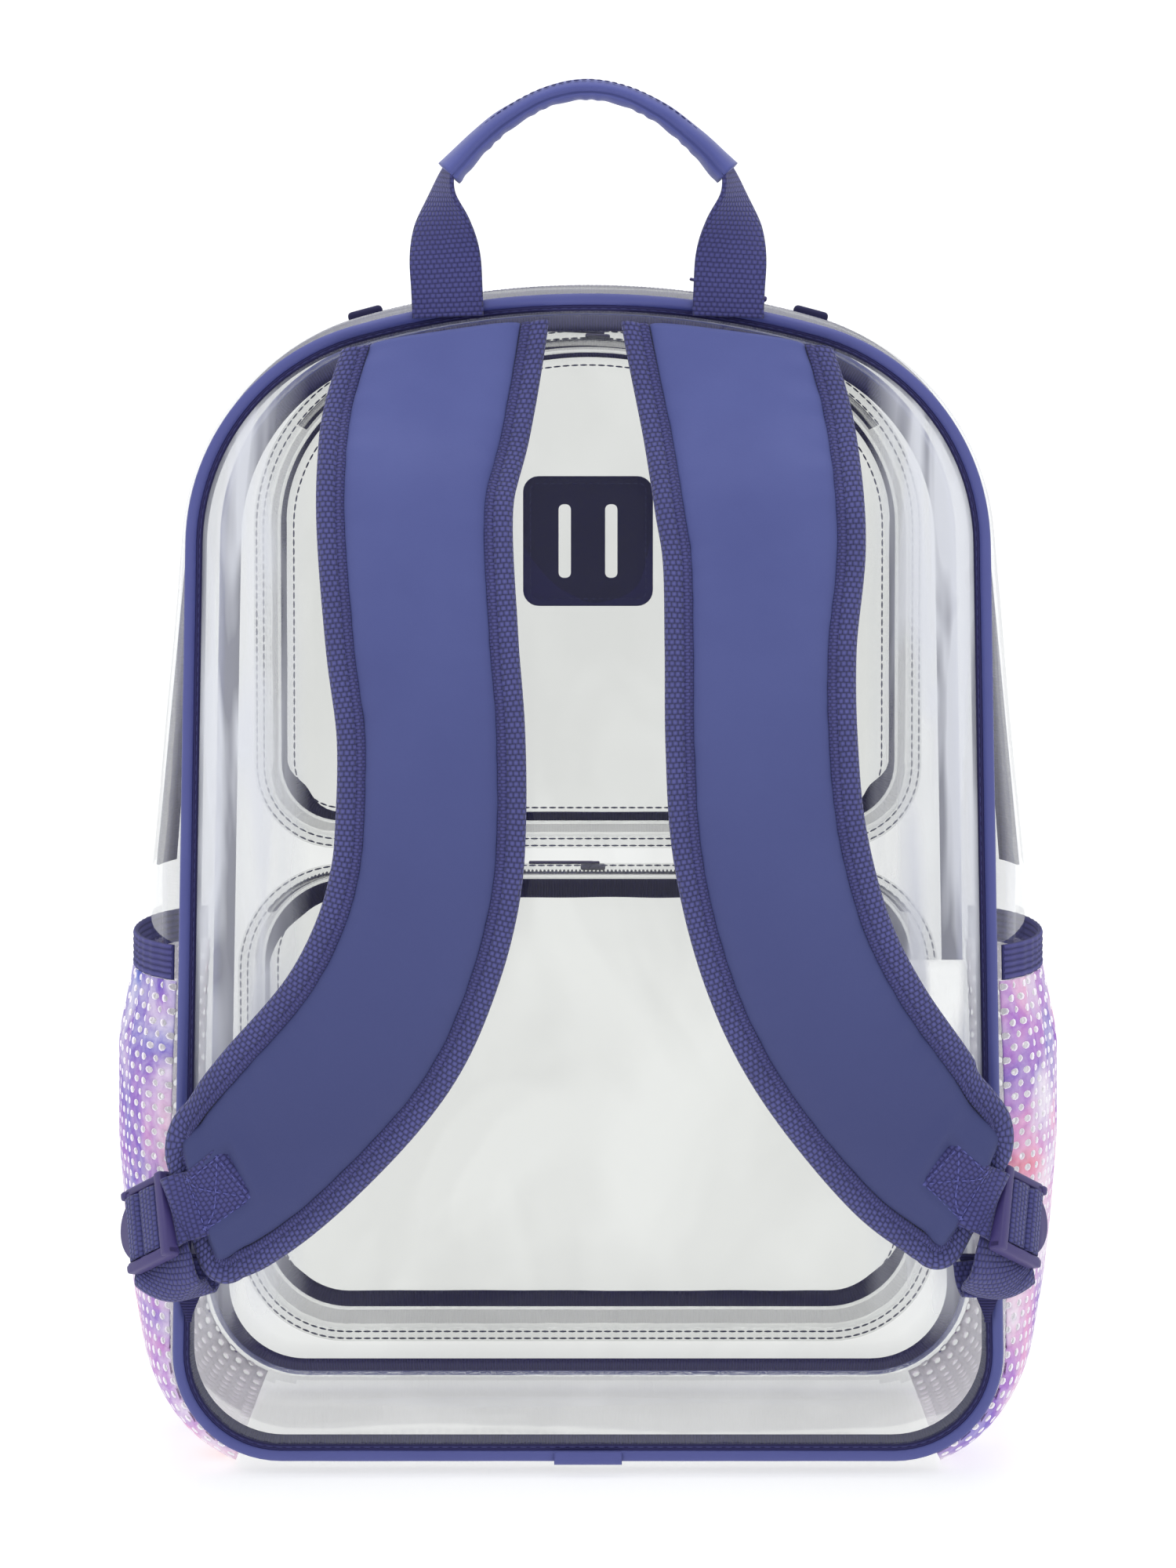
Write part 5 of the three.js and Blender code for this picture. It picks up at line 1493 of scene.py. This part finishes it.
@dataclass
class ArmStrap:
    """A padded strap with its woven rim, patch, buckle, lower webbing and corner tab.

    Each row of rows holds a place on the strap's middle line as shares: across the shoulder's
    half width, up the seam's top, width of the strap and lift off the panel.
    """

    name: str
    side: int
    rows: tuple[tuple[float, float, float, float], ...]
    body: Body
    width: float = 0.069
    lift: float = 0.045
    pad_thick: float = 0.013
    rim_width: float = 0.0105
    rim_thick: float = 0.0058
    end_radius: float = 0.015
    webbing: float = 0.0015
    web_width: float = 0.026
    skew: float = 0.38
    skew_reach: float = 0.15
    end_skew: float = 0.36
    end_reach: float = 0.12
    end_stretch: float = 0.06
    samples: int = 181
    middle: np.ndarray = field(init=False)
    along: np.ndarray = field(init=False)
    across: np.ndarray = field(init=False)
    straight: np.ndarray = field(init=False)
    face: np.ndarray = field(init=False)
    half: np.ndarray = field(init=False)
    length: float = field(init=False)

    def __post_init__(self) -> None:
        """Works out the strap's middle line and its directions."""
        panel = -self.body.depth / 2 - self.body.sheet
        table = np.array([(self.side * a * self.body.shoulder_half, panel - l * self.lift,
                           u * self.body.seam_top, w * self.width / 2) for a, u, w, l in self.rows])
        line = curve_through(table, self.samples)
        self.middle, self.half = line[:, :3], line[:, 3]
        self.along = tangents_of(self.middle)
        self.straight = unit(np.cross([0.0, 1.0, 0.0], self.along))
        self.face = unit(np.cross(self.straight, self.along))
        self.face *= np.where(self.face[:, 1:2] > 0, -1, 1)
        share = np.linspace(0, 1, self.samples)[:, None]
        from_end = np.maximum(0, 1 - share - self.end_stretch)
        slant = self.end_skew * np.maximum(0, 1 - from_end / self.end_reach)
        slant -= self.skew * np.maximum(0, 1 - share / self.skew_reach)
        self.across = self.straight + self.side * slant * self.along
        self.length = float(np.linalg.norm(np.diff(self.middle, axis=0), axis=1).sum())

    def at(self, ahead: float, aside: float = 0.0, lift: float = 0.0) -> np.ndarray:
        """A point ahead of the strap's end (negative: before it), aside and off its middle plane."""
        place = np.clip(1 + min(0.0, ahead) / self.length, 0, 1) * (self.samples - 1)
        i = min(int(place), self.samples - 2)
        t = place - i
        mix = lambda rows: rows[i] + (rows[i + 1] - rows[i]) * t
        return (mix(self.middle) + mix(self.straight) * aside + mix(self.face) * lift
                + self.along[-1] * max(0.0, ahead))

    def build(self) -> None:
        """Builds the strap."""
        self.pad()
        self.rim()
        self.patch()
        self.buckle()
        self.lower_webbing()
        self.corner_tab()

    def pad(self) -> None:
        """Builds the padded middle, gathered a little where the rim holds it.

        The rim runs straight on at the strap's end, where the strap itself bends, so the pad is
        spread there to stay under the rim.
        """
        rim = self.rim_width - 0.0006
        corner = self.end_radius - rim - 0.0035
        reach = self.length - rim + 0.002
        lengths = np.linspace(0, self.length, self.samples)
        rings = []
        turn = np.linspace(0, 2 * math.pi, 44, endpoint=False)
        power = lambda v, p: np.sign(v) * np.abs(v) ** p
        aside, lift = power(np.cos(turn), 0.62), power(np.sin(turn), 0.8)
        stops = np.concatenate([np.linspace(0, reach - corner, 230), reach - corner * (1 - np.sin(
            np.linspace(0.15, 1, 8) * math.pi / 2))])
        for stop in stops:
            pick = lambda rows: np.array([np.interp(stop, lengths, rows[:, k]) for k in range(3)])
            into = max(0.0, (stop - reach + corner) / corner)
            cut = corner * (1 - math.sqrt(max(0.0, 1 - into * into)))
            spread = 0.0016 * np.clip((stop - self.length + 0.018) / 0.006, 0, 1)
            half = np.interp(stop, lengths, self.half) - rim - cut + spread
            middle, across, face = pick(self.middle), pick(self.across), pick(self.face)
            flatness = 1 - 0.35 * into
            high = np.where(lift > 0, self.pad_thick / 2, self.pad_thick * 0.42) * flatness
            ring = middle + (aside * half)[:, None] * across + (lift * high)[:, None] * face
            rings.append(ring)
        grid = np.array(rings)
        edge = np.clip((np.abs(aside) - 0.45) / 0.5, 0, 1)[None, :] * (lift > 0.1)[None, :]
        tug = ridged(np.stack([np.broadcast_to(stops[:, None] * 1.0, grid.shape[:2]),
                               np.broadcast_to(np.sign(aside) * 0.2, grid.shape[:2]),
                               np.zeros(grid.shape[:2])], axis=-1), 130.0, 2.0 + self.side)
        slow = ridged(grid, 26.0, 4.0)
        faces = np.array([[np.interp(s, lengths, self.face[:, k]) for k in range(3)] for s in stops])[:, None]
        to_end = (self.length - stops)[:, None]
        off = np.abs(aside * np.interp(stops, lengths, self.half)[:, None])
        sunk = np.clip((0.0305 - to_end) / 0.004, 0, 1) * np.clip((0.0150 - off) / 0.004, 0, 1)
        puffed = np.clip((0.039 - to_end) / 0.007, 0, 1) * np.clip((0.0215 - off) / 0.006, 0, 1) - sunk
        shift = tug * edge * 0.0008 + slow * 0.0006 * (lift > 0)
        shift = shift + (0.0015 * puffed - 0.0014 * sunk) * (lift > 0.2)
        grid = grid + faces * shift[..., None]
        piece = grid_piece(f"strap_pad_{self.name}_foam", grid, wrap_columns=True, caps=True)
        dress(piece, Finish.PAD, "strap_fabric", f"strap_pad_{self.name}", pad=0.7)

    def rim_path(self) -> tuple[np.ndarray, np.ndarray, np.ndarray]:
        """The rim's outer line, its outward direction and its face, down one edge and up the other."""
        lengths = np.linspace(0, self.length, self.samples)
        straight = self.length - self.end_radius
        stops = np.linspace(0, straight, 260)
        pick = lambda rows, s: np.array([np.interp(s, lengths, rows[:, k]) for k in range(3)]).T
        half = np.interp(stops, lengths, self.half)[:, None]
        mid, across, face = (pick(rows, stops) for rows in (self.middle, self.across, self.face))
        last_mid, last_face = mid[-1], face[-1]
        last_across, last_along = across[-1], pick(self.along, straight)
        last_half = float(half[-1, 0])
        corner = []
        for side in (1, -1):
            turns = np.linspace(0, math.pi / 2, 16)[1:]
            for turn in turns if side > 0 else turns[::-1]:
                outward = last_across * side * math.cos(turn) + last_along * math.sin(turn)
                aside = side * (last_half - self.end_radius * (1 - math.cos(turn)))
                corner.append((last_mid + last_across * aside + last_along * self.end_radius * math.sin(turn),
                               outward, last_face))
        points = np.concatenate([mid + across * half, [c[0] for c in corner], (mid - across * half)[::-1]])
        outward = np.concatenate([across, [c[1] for c in corner], -across[::-1]])
        faces = np.concatenate([face, [c[2] for c in corner], face[::-1]])
        return points, unit(outward), faces

    def rim(self) -> None:
        """Builds the woven binding, with a crease and a ribbed inner edge."""
        points, outward, face = self.rim_path()
        half = self.rim_thick / 2
        front = [(10.5, 0.35), (10.1, 0.72), (9.2, 0.92), (8.2, 0.9), (7.4, 0.66), (7.0, 0.62), (6.6, 0.78),
                 (5.4, 0.96), (4.0, 1.0), (2.6, 0.96), (1.4, 0.8), (0.5, 0.5), (0.0, 0.0)]
        back = [(0.5, -0.5), (1.6, -0.82), (4.0, -0.95), (7.0, -0.9), (10.0, -0.8), (10.5, -0.3)]
        section = np.array([(-a * 0.001, b * half) for a, b in front + back])
        grid = sweep(points, outward, face, section)
        slow = ridged(grid, 90.0, 9.0)
        grid += face[:, None] * (slow * 0.00025)[..., None]
        piece = grid_piece(f"strap_binding_{self.name}_weave", grid, wrap_columns=True, caps=True)
        piece.data.materials.append(Finish.RIM.material())
        piece.data.materials.append(Finish.HERRINGBONE.material())
        columns = len(section)
        for i, polygon in enumerate(piece.data.polygons):
            polygon.material_index = 1 if i % columns < 5 and len(polygon.vertices) == 4 else 0
        dress(piece, Finish.RIM, "webbing", f"strap_binding_{self.name}")

    def patch(self) -> None:
        """Builds the webbing from the strap's end to the buckle, with its box and cross of stitches."""
        top = self.pad_thick / 2 - 0.0004
        ends = [(self.at(a, 0.0, lift), self.straight[-1]) for a, lift in
                ((-0.0285, top - 0.0024), (-0.0265, top - 0.0004), (-0.019, top), (-0.010, top - 0.0004))]
        long = self.hang()[2]
        long = long * (1.0 if long @ self.straight[-1] > 0 else -1.0)
        ends += [(self.by_buckle(-0.0150, 0.0006), unit(self.straight[-1] + long)),
                 (self.by_buckle(-0.0105, -0.0022), long)]
        line = curve_through(np.array([[*point, *aside] for point, aside in ends]), 46)
        aside = square_to(line[:, 3:], tangents_of(line[:, :3]))
        half = self.web_width / 2 - 0.0008
        grid = line[:, None, :3] + aside[:, None] * (np.linspace(-1, 1, 13)[None, :, None] * half)
        piece = Tape(self.webbing).strip(f"strap_patch_{self.name}_webbing", grid)
        dress(piece, Finish.WEBBING, "webbing", f"strap_patch_{self.name}")
        low, high, left, right = 5, 27, 0.12, 0.88
        corners = [(low, left), (low, right), (high, right), (high, left)]
        lines = [(corners[i], corners[(i + 1) % 4]) for i in range(4)]
        lines += [(corners[0], corners[2]), (corners[1], corners[3])]
        paths = []
        for (r0, c0), (r1, c1) in lines:
            path = [self.on_patch(grid, r0 + (r1 - r0) * t, c0 + (c1 - c0) * t)
                    for t in np.linspace(0, 1, 24)]
            paths.append(np.array(path))
        sewing = Repeat(f"patch_{self.name}_sewing", 0.0027, (0.0004, 0.0003, 0.0011), Finish.THREAD_LIGHT)
        dress(sewing.along(f"strap_patch_{self.name}_stitches", paths), Finish.THREAD_LIGHT, "webbing")

    def on_patch(self, grid: np.ndarray, row: float, share: float) -> np.ndarray:
        """A point just above the patch, by row and share of its width."""
        i, j = int(row), min(int(share * 12), 11)
        after = min(i + 1, len(grid) - 1)
        s, t = row - i, share * 12 - j
        low = grid[i, j] * (1 - t) + grid[i, j + 1] * t
        high = grid[after, j] * (1 - t) + grid[after, j + 1] * t
        return low * (1 - s) + high * s + self.face[-1] * 0.00095

    def hang(self) -> tuple[np.ndarray, np.ndarray, np.ndarray, np.ndarray]:
        """The buckle's middle, its short way, its long way and the way it faces."""
        mirror = np.array([-self.side, 1.0, 1.0])
        short = unit(np.array([-0.67, 0.61, -0.42]))
        long = np.array([0.13, -0.46, -0.88])
        long = unit(long - short * float(long @ short))
        short, long = short * mirror, long * mirror
        face = np.cross(short, long) * -self.side
        return self.at(0.0) + short * 0.0123 + face * (0.37 * self.pad_thick), short, long, face

    def by_buckle(self, short: float, face: float, long: float = 0.0) -> np.ndarray:
        """A point from the buckle's middle along its short way, off its face and along its long way."""
        middle, short_way, long_way, face_way = self.hang()
        return middle + short_way * short + face_way * face + long_way * long

    def buckle(self) -> None:
        """Builds the slotted frame with its rounded tab, and the webbing laced through it."""
        middle, short, long, face = self.hang()
        bar, width, length, thick = 0.004, 0.024, 0.032, 0.0036
        parts = [rounded_block((bar, length - 0.0004, 0.0062), 0.0011, (-width / 2 + bar / 2, 0, 0.0008)),
                 rounded_block((bar * 0.7, length - 0.004, thick * 0.8), 0.0009, (0.0015, 0, -0.0004)),
                 rounded_block((bar, length - 0.0004, thick), 0.0012, (width / 2 - bar / 2, 0, 0))]
        parts.append(rounded_block((width, bar * 0.8, thick), 0.0011, (0, -(length - bar * 0.8) / 2, 0)))
        parts.append(rounded_block((width, bar, 0.0058), 0.0011, (0, (length - bar) / 2, 0.0004)))
        for y in (-1, 1):
            parts.append(rounded_block((0.003, 0.0034, thick * 1.25), 0.0011,
                                       (width / 2 + 0.0004, y * (length / 2 - 0.0022), 0.0002)))
        parts.append(self.flange(0.013, thick * 0.55, width))
        frame_piece = joined(f"buckle_{self.name}_frame", parts, axes(short, long, face, middle))
        dress(frame_piece, Finish.PLASTIC, "plastic", f"buckle_{self.name}")
        laced = {"inner": [(-0.0078, -0.0008), (-0.0074, 0.0012), (-0.0058, 0.0024), (-0.001, 0.0028),
                           (0.0014, 0.0024), (0.0024, 0.0004)],
                 "outer": [(0.0034, 0.0), (0.0038, 0.0022), (0.0058, 0.0030), (0.0085, 0.0026),
                           (0.0104, 0.0020), (0.0114, -0.0004)]}
        for name, rows in laced.items():
            line = curve_through(np.array([[*self.by_buckle(a, f), 0.0] for a, f in rows]), 26)[:, :3]
            grid = line[:, None] + long * (np.linspace(-1, 1, 13)[None, :, None] * 0.0118)
            piece = Tape(self.webbing).strip(f"buckle_{self.name}_{name}_lacing", grid)
            dress(piece, Finish.WEBBING, "webbing")

    def flange(self, radius: float, thick: float, width: float) -> bmesh.types.BMesh:
        """Makes the thin half-round tab at the buckle's outer side."""
        edit = bmesh.new()
        start = (width - radius) / 2 - 0.001
        turns = np.linspace(-math.pi / 2.6, math.pi / 2.6, 25)
        rim = [(start + radius * math.cos(t), radius * math.sin(t)) for t in turns]
        rings = []
        for scale, z in ((0.97, thick / 2), (1.0, thick / 4), (1.0, -thick / 4), (0.97, -thick / 2)):
            rings.append([edit.verts.new((start + (x - start) * scale, y * scale, z)) for x, y in rim])
        for a, b in zip(rings, rings[1:]):
            for i in range(len(rim)):
                j = (i + 1) % len(rim)
                edit.faces.new((a[i], a[j], b[j], b[i]))
        edit.faces.new(rings[0])
        edit.faces.new(rings[-1][::-1])
        return edit

    def lower_webbing(self) -> None:
        """Builds the webbing that hangs in a loop under the buckle and curls up behind it to the tab."""
        start = self.by_buckle(0.001, -0.0034)
        y = -self.body.depth / 2 - self.body.sheet - self.body.cord - 0.0022 - 0.0006 - self.webbing / 2
        rows = []
        hanging_rows = ((0, 0, 0, 44.6), (0.127, 0.16, 0.373, 43), (0.168, 0.173, 0.77, 30),
                        (0.187, -0.027, 1.06, 12))
        for inward, outward, down, turn in hanging_rows:
            rows.append((start + np.array([-self.side * inward, -outward, -down]) * self.web_width, turn))
        for across, off, above in ((0.077, 0.25, -0.577), (0.154, 0.06, -0.385), (0.192, 0.0, -0.08)):
            rows.append((np.array([self.side * (self.body.foot_half - across * self.web_width),
                                   y - off * self.web_width, 0.084 + above * self.web_width]), 0.0))
        line = curve_through(np.array([[*p, turn] for p, turn in rows]), 90)
        turns = np.radians(line[:, 3])
        aside = np.stack([self.side * np.cos(turns), np.sin(turns), np.zeros(len(turns))], axis=1)
        aside = square_to(aside, tangents_of(line[:, :3]))
        shares = np.linspace(-0.5, 0.5, 13) * self.web_width
        grid = line[:, None, :3] + aside[:, None] * shares[None, :, None]
        hanging = np.exp(-((np.linspace(0, 1, len(line)) - 0.58) / 0.2) ** 2)[:, None]
        rounded_edge = (2 * shares / self.web_width)[None] ** 2
        grid[..., 2] += 0.0065 * hanging * rounded_edge * (1 + 0.25 * self.side * np.sign(shares))
        piece = Tape(self.webbing).strip(f"lower_webbing_{self.name}_strip", grid)
        dress(piece, Finish.WEBBING, "webbing", f"lower_webbing_{self.name}")

    def corner_tab(self) -> None:
        """Builds the stitched triangle on the lower corner."""
        low, high = (np.array(c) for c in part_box(f"corner_tab_{self.name}"))
        middle = (low[0] + high[0]) / 2
        heights = np.linspace(high[2], low[2], 22)
        grid = []
        for z in heights:
            half = (high[0] - low[0]) / 2 * max(0.03, (z - low[2]) / (high[2] - low[2]))
            grid.append([(middle + s * half, (low[1] + high[1]) / 2 - 0.0003 * math.cos(s * 3), z)
                         for s in np.linspace(-1, 1, 11)])
        piece = Tape(0.002).strip(f"corner_tab_{self.name}_fold", np.array(grid))
        dress(piece, Finish.TAPE, "webbing", f"corner_tab_{self.name}")


LEFT_ROWS = (
    (0.36, 0.969, 1.04, 0.15), (0.405, 0.895, 1.09, 0.38), (0.431, 0.833, 1.03, 0.66),
    (0.412, 0.717, 1.0, 0.86), (0.389, 0.641, 0.975, 0.95), (0.389, 0.567, 0.985, 1.0),
    (0.401, 0.519, 0.99, 1.0), (0.446, 0.461, 1.0, 0.97), (0.543, 0.393, 1.03, 0.9),
    (0.745, 0.314, 1.03, 0.75), (0.893, 0.268, 0.97, 0.65), (1.02, 0.236, 0.8, 0.6),
)
RIGHT_ROWS = (
    (0.351, 0.969, 1.06, 0.15), (0.4, 0.895, 1.1, 0.38), (0.426, 0.832, 1.09, 0.66),
    (0.437, 0.791, 1.06, 0.74), (0.428, 0.711, 0.995, 0.86), (0.43, 0.63, 0.995, 0.95),
    (0.45, 0.549, 1.01, 1.0), (0.519, 0.46, 1.02, 0.97),
    (0.623, 0.389, 1.03, 0.9), (0.824, 0.3, 1.0, 0.72), (0.913, 0.271, 0.93, 0.66), (1.0, 0.241, 0.8, 0.6),
)


# Handle


@dataclass
class Handle:
    """The padded sleeve and the two webbing legs that rise into it."""

    body: Body
    half_span: float = 0.053
    rise: float = 0.076
    sleeve_height: float = 0.0075
    sleeve_depth: float = 0.018
    web_width: float = 0.026
    webbing: float = 0.0015
    y: float = -0.0712 - 0.0022 - 0.00075 - 0.0006

    def build(self) -> None:
        """Builds the sleeve and the legs."""
        self.sleeve()
        for name, side in (("left", -1), ("right", 1)):
            self.leg(name, side)

    def place(self, across: float, above: float) -> np.ndarray:
        """A point of the handle from shares of its half span and rise."""
        return np.array([across * self.half_span, self.y, self.body.seam_top + above * self.rise])

    def sleeve(self) -> None:
        """Builds the sleeve with its crease, its seam stitches and soft ends."""
        half = [(0.953, 0.599), (0.736, 0.757), (0.528, 0.875), (0.264, 0.967)]
        rows = [self.place(-a, b) for a, b in half] + [self.place(0, 1)]
        rows += [self.place(a, b) for a, b in half[::-1]]
        path = curve_through(np.array(rows), 120)
        ahead = tangents_of(path)
        up = unit(np.cross(ahead, [0.0, 1.0, 0.0]))
        up *= np.where(up[:, 2:3] < 0, -1, 1)
        deep = np.broadcast_to([0.0, -1.0, 0.0], path.shape)
        turn = np.linspace(0, 2 * math.pi, 32, endpoint=False)
        share = np.linspace(-1, 1, len(path))
        taper = 0.86 + 0.42 * np.abs(share) ** 2.5
        sections = []
        for i, t in enumerate(taper):
            lift = np.sin(turn) * self.sleeve_height / 2 * t * 1.08
            out = np.cos(turn) * self.sleeve_depth / 2 * t
            lip = 0.55 * (0.5 + 0.5 * math.sin(i * 0.9 + 1.7 * math.sin(i * 0.31)))
            crease = 0.0021 * np.exp(-(np.arctan2(np.sin(turn + 0.35), np.cos(turn + 0.35)) / 0.17) ** 2)
            lift = lift - 0.0009 * lip * np.exp(-((turn - 4.9) / 0.6) ** 2)
            sections.append(np.stack([lift, out - crease], axis=1))
        grid = sweep(path, up, deep, np.array(sections))
        grid += up[:, None] * (ridged(grid, 60.0, 6.0) * 0.0005)[..., None]
        piece = grid_piece("handle_sleeve_cloth", grid, wrap_columns=True, caps=True)
        dress(piece, Finish.SLEEVE, "strap_fabric", "handle_sleeve", pad=0.5)
        row = path + up * self.sleeve_height * 0.40 + deep * self.sleeve_depth * 0.33
        sewing = Repeat("sleeve_sewing", 0.0028, (0.0003, 0.0003, 0.0011), Finish.THREAD)
        dress(sewing.along("handle_sleeve_stitches", [row[3:-3]]), Finish.THREAD, "strap_fabric")

    def leg(self, name: str, side: int) -> None:
        """Builds one webbing leg, turning edge-on as it rises."""
        table = ((0.962, -0.0855, 1.0, 0), (0.97, 0.05, 1.0, 0), (0.981, 0.184, 1.0, 4),
                 (1.0, 0.355, 0.9, 30), (1.0, 0.5, 0.75, 62), (0.968, 0.6, 0.7, 74),
                 (0.93, 0.66, 0.66, 78))
        rows = np.array([[*self.place(side * a, b), w * self.web_width / 2, math.radians(turn)]
                         for a, b, w, turn in table])
        line = curve_through(rows, 60)
        aside = np.stack([np.cos(line[:, 4]), side * np.sin(line[:, 4]), np.zeros(len(line))], axis=1)
        aside = square_to(aside, tangents_of(line[:, :3]))
        shares = np.linspace(-1, 1, 13)
        grid = line[:, None, :3] + aside[:, None] * (shares[None, :, None] * line[:, None, 3:4])
        piece = Tape(self.webbing).strip(f"handle_webbing_{name}_leg", grid)
        dress(piece, Finish.WEBBING, "webbing", f"handle_webbing_{name}")


# Studio


@dataclass
class Studio:
    """The floor and backdrop, the lights and the camera."""

    distance: float = 1.57
    height: float = 0.374
    tilt: float = 2.5
    shift: float = -0.091
    lens: float = 94.0

    def camera(self) -> None:
        """Places the camera at the photograph's viewing angle."""
        data = bpy.data.cameras.new("camera")
        data.lens = self.lens
        data.sensor_width = 36.0
        data.shift_y = self.shift
        data.clip_start = 0.01
        camera = put_in_scene("camera", data)
        camera.location = (0.0, -self.distance, self.height)
        camera.rotation_euler = (math.radians(90 - self.tilt), 0.0, 0.0)
        bpy.context.scene.camera = camera

    def light(self, name: str, place: Sequence[float], target: Sequence[float], size: tuple[float, float],
              power: float) -> None:
        """Adds a soft rectangular light that looks at a target."""
        data = bpy.data.lights.new(name, "AREA")
        data.shape = "RECTANGLE"
        data.size, data.size_y = size
        data.energy = power
        lamp = put_in_scene(name, data)
        lamp.location = place
        lamp.rotation_euler = (Vector(target) - Vector(place)).to_track_quat("-Z", "Y").to_euler()

    def build(self) -> None:
        """Builds the stage."""
        world = bpy.data.worlds.new("studio")
        world.use_nodes = True
        world.node_tree.nodes["Background"].inputs[0].default_value = (0.9, 0.93, 0.97, 1.0)
        world.node_tree.nodes["Background"].inputs[1].default_value = 0.8
        bpy.context.scene.world = world
        bpy.context.scene.view_settings.view_transform = "Standard"
        self.backdrop()
        self.light("key", (-1.3, -1.7, 1.7), (0, 0, 0.25), (1.1, 1.1), 3.5)
        self.light("fill", (1.6, -1.4, 1.0), (0, 0, 0.22), (1.0, 1.4), 1)
        self.light("top", (0.0, -0.2, 2.1), (0, 0, 0.2), (1.5, 1.5), 13)
        self.light("wall", (0.0, 0.9, 2.3), (0, 2.0, 0.5), (3.0, 1.0), 3)

    def backdrop(self) -> None:
        """Builds a pale sheet that runs along the floor and curves up behind."""
        profile = [(-4.0, 0.0), (-1.0, 0.0), (1.4, 0.0)]
        profile += [(1.4 + 0.8 * math.sin(t), 0.8 - 0.8 * math.cos(t))
                    for t in np.linspace(0.1, math.pi / 2, 14)]
        profile += [(2.2, 3.4)]
        grid = np.array([[(x, y, z - 0.0002) for x in (-4.0, 4.0)] for y, z in profile])
        piece = grid_piece("backdrop", grid)
        turn_towards(piece, (0.0, -0.4, 1.0))
        material, tree, output = new_material("paper_backdrop")
        grain = tree.noise(tree.coordinates(), 500.0)
        shader = tree.cover(output, (0.5, 0.5, 0.5), 0.85, tree.bump(grain, 0.0001, 0.2))
        shader.inputs["Emission Color"].default_value = (1.0, 1.0, 1.0, 1.0)
        shader.inputs["Emission Strength"].default_value = 0.61
        piece.data.materials.append(material)


def main() -> None:
    """Builds the bag, the stage and the camera."""
    studio = Studio()
    studio.camera()
    body = Body()
    seam = body.seam()
    ClearShell(body).build(seam)
    SeamTrim(body).build(seam)
    MainZip(body).build(seam)
    FrontPocket("upper_pocket", 0.129, 0.224, 0.419, 0.028, 0.068, True, body).build()
    FrontPocket("lower_pocket", 0.136, 0.024, 0.208, 0.038, 0.038, False, body).build()
    LashPatch().build()
    CareLabel().build()
    SidePocket("left", -1, body, Finish.DYED_LEFT).build(seam)
    SidePocket("right", 1, body, Finish.DYED_RIGHT).build(seam)
    ArmStrap("left", -1, LEFT_ROWS, body).build()
    ArmStrap("right", 1, RIGHT_ROWS, body).build()
    Handle(body).build()
    studio.build()


if __name__ == "__main__":
    logging.basicConfig(level=logging.INFO, format="%(message)s")
    main()
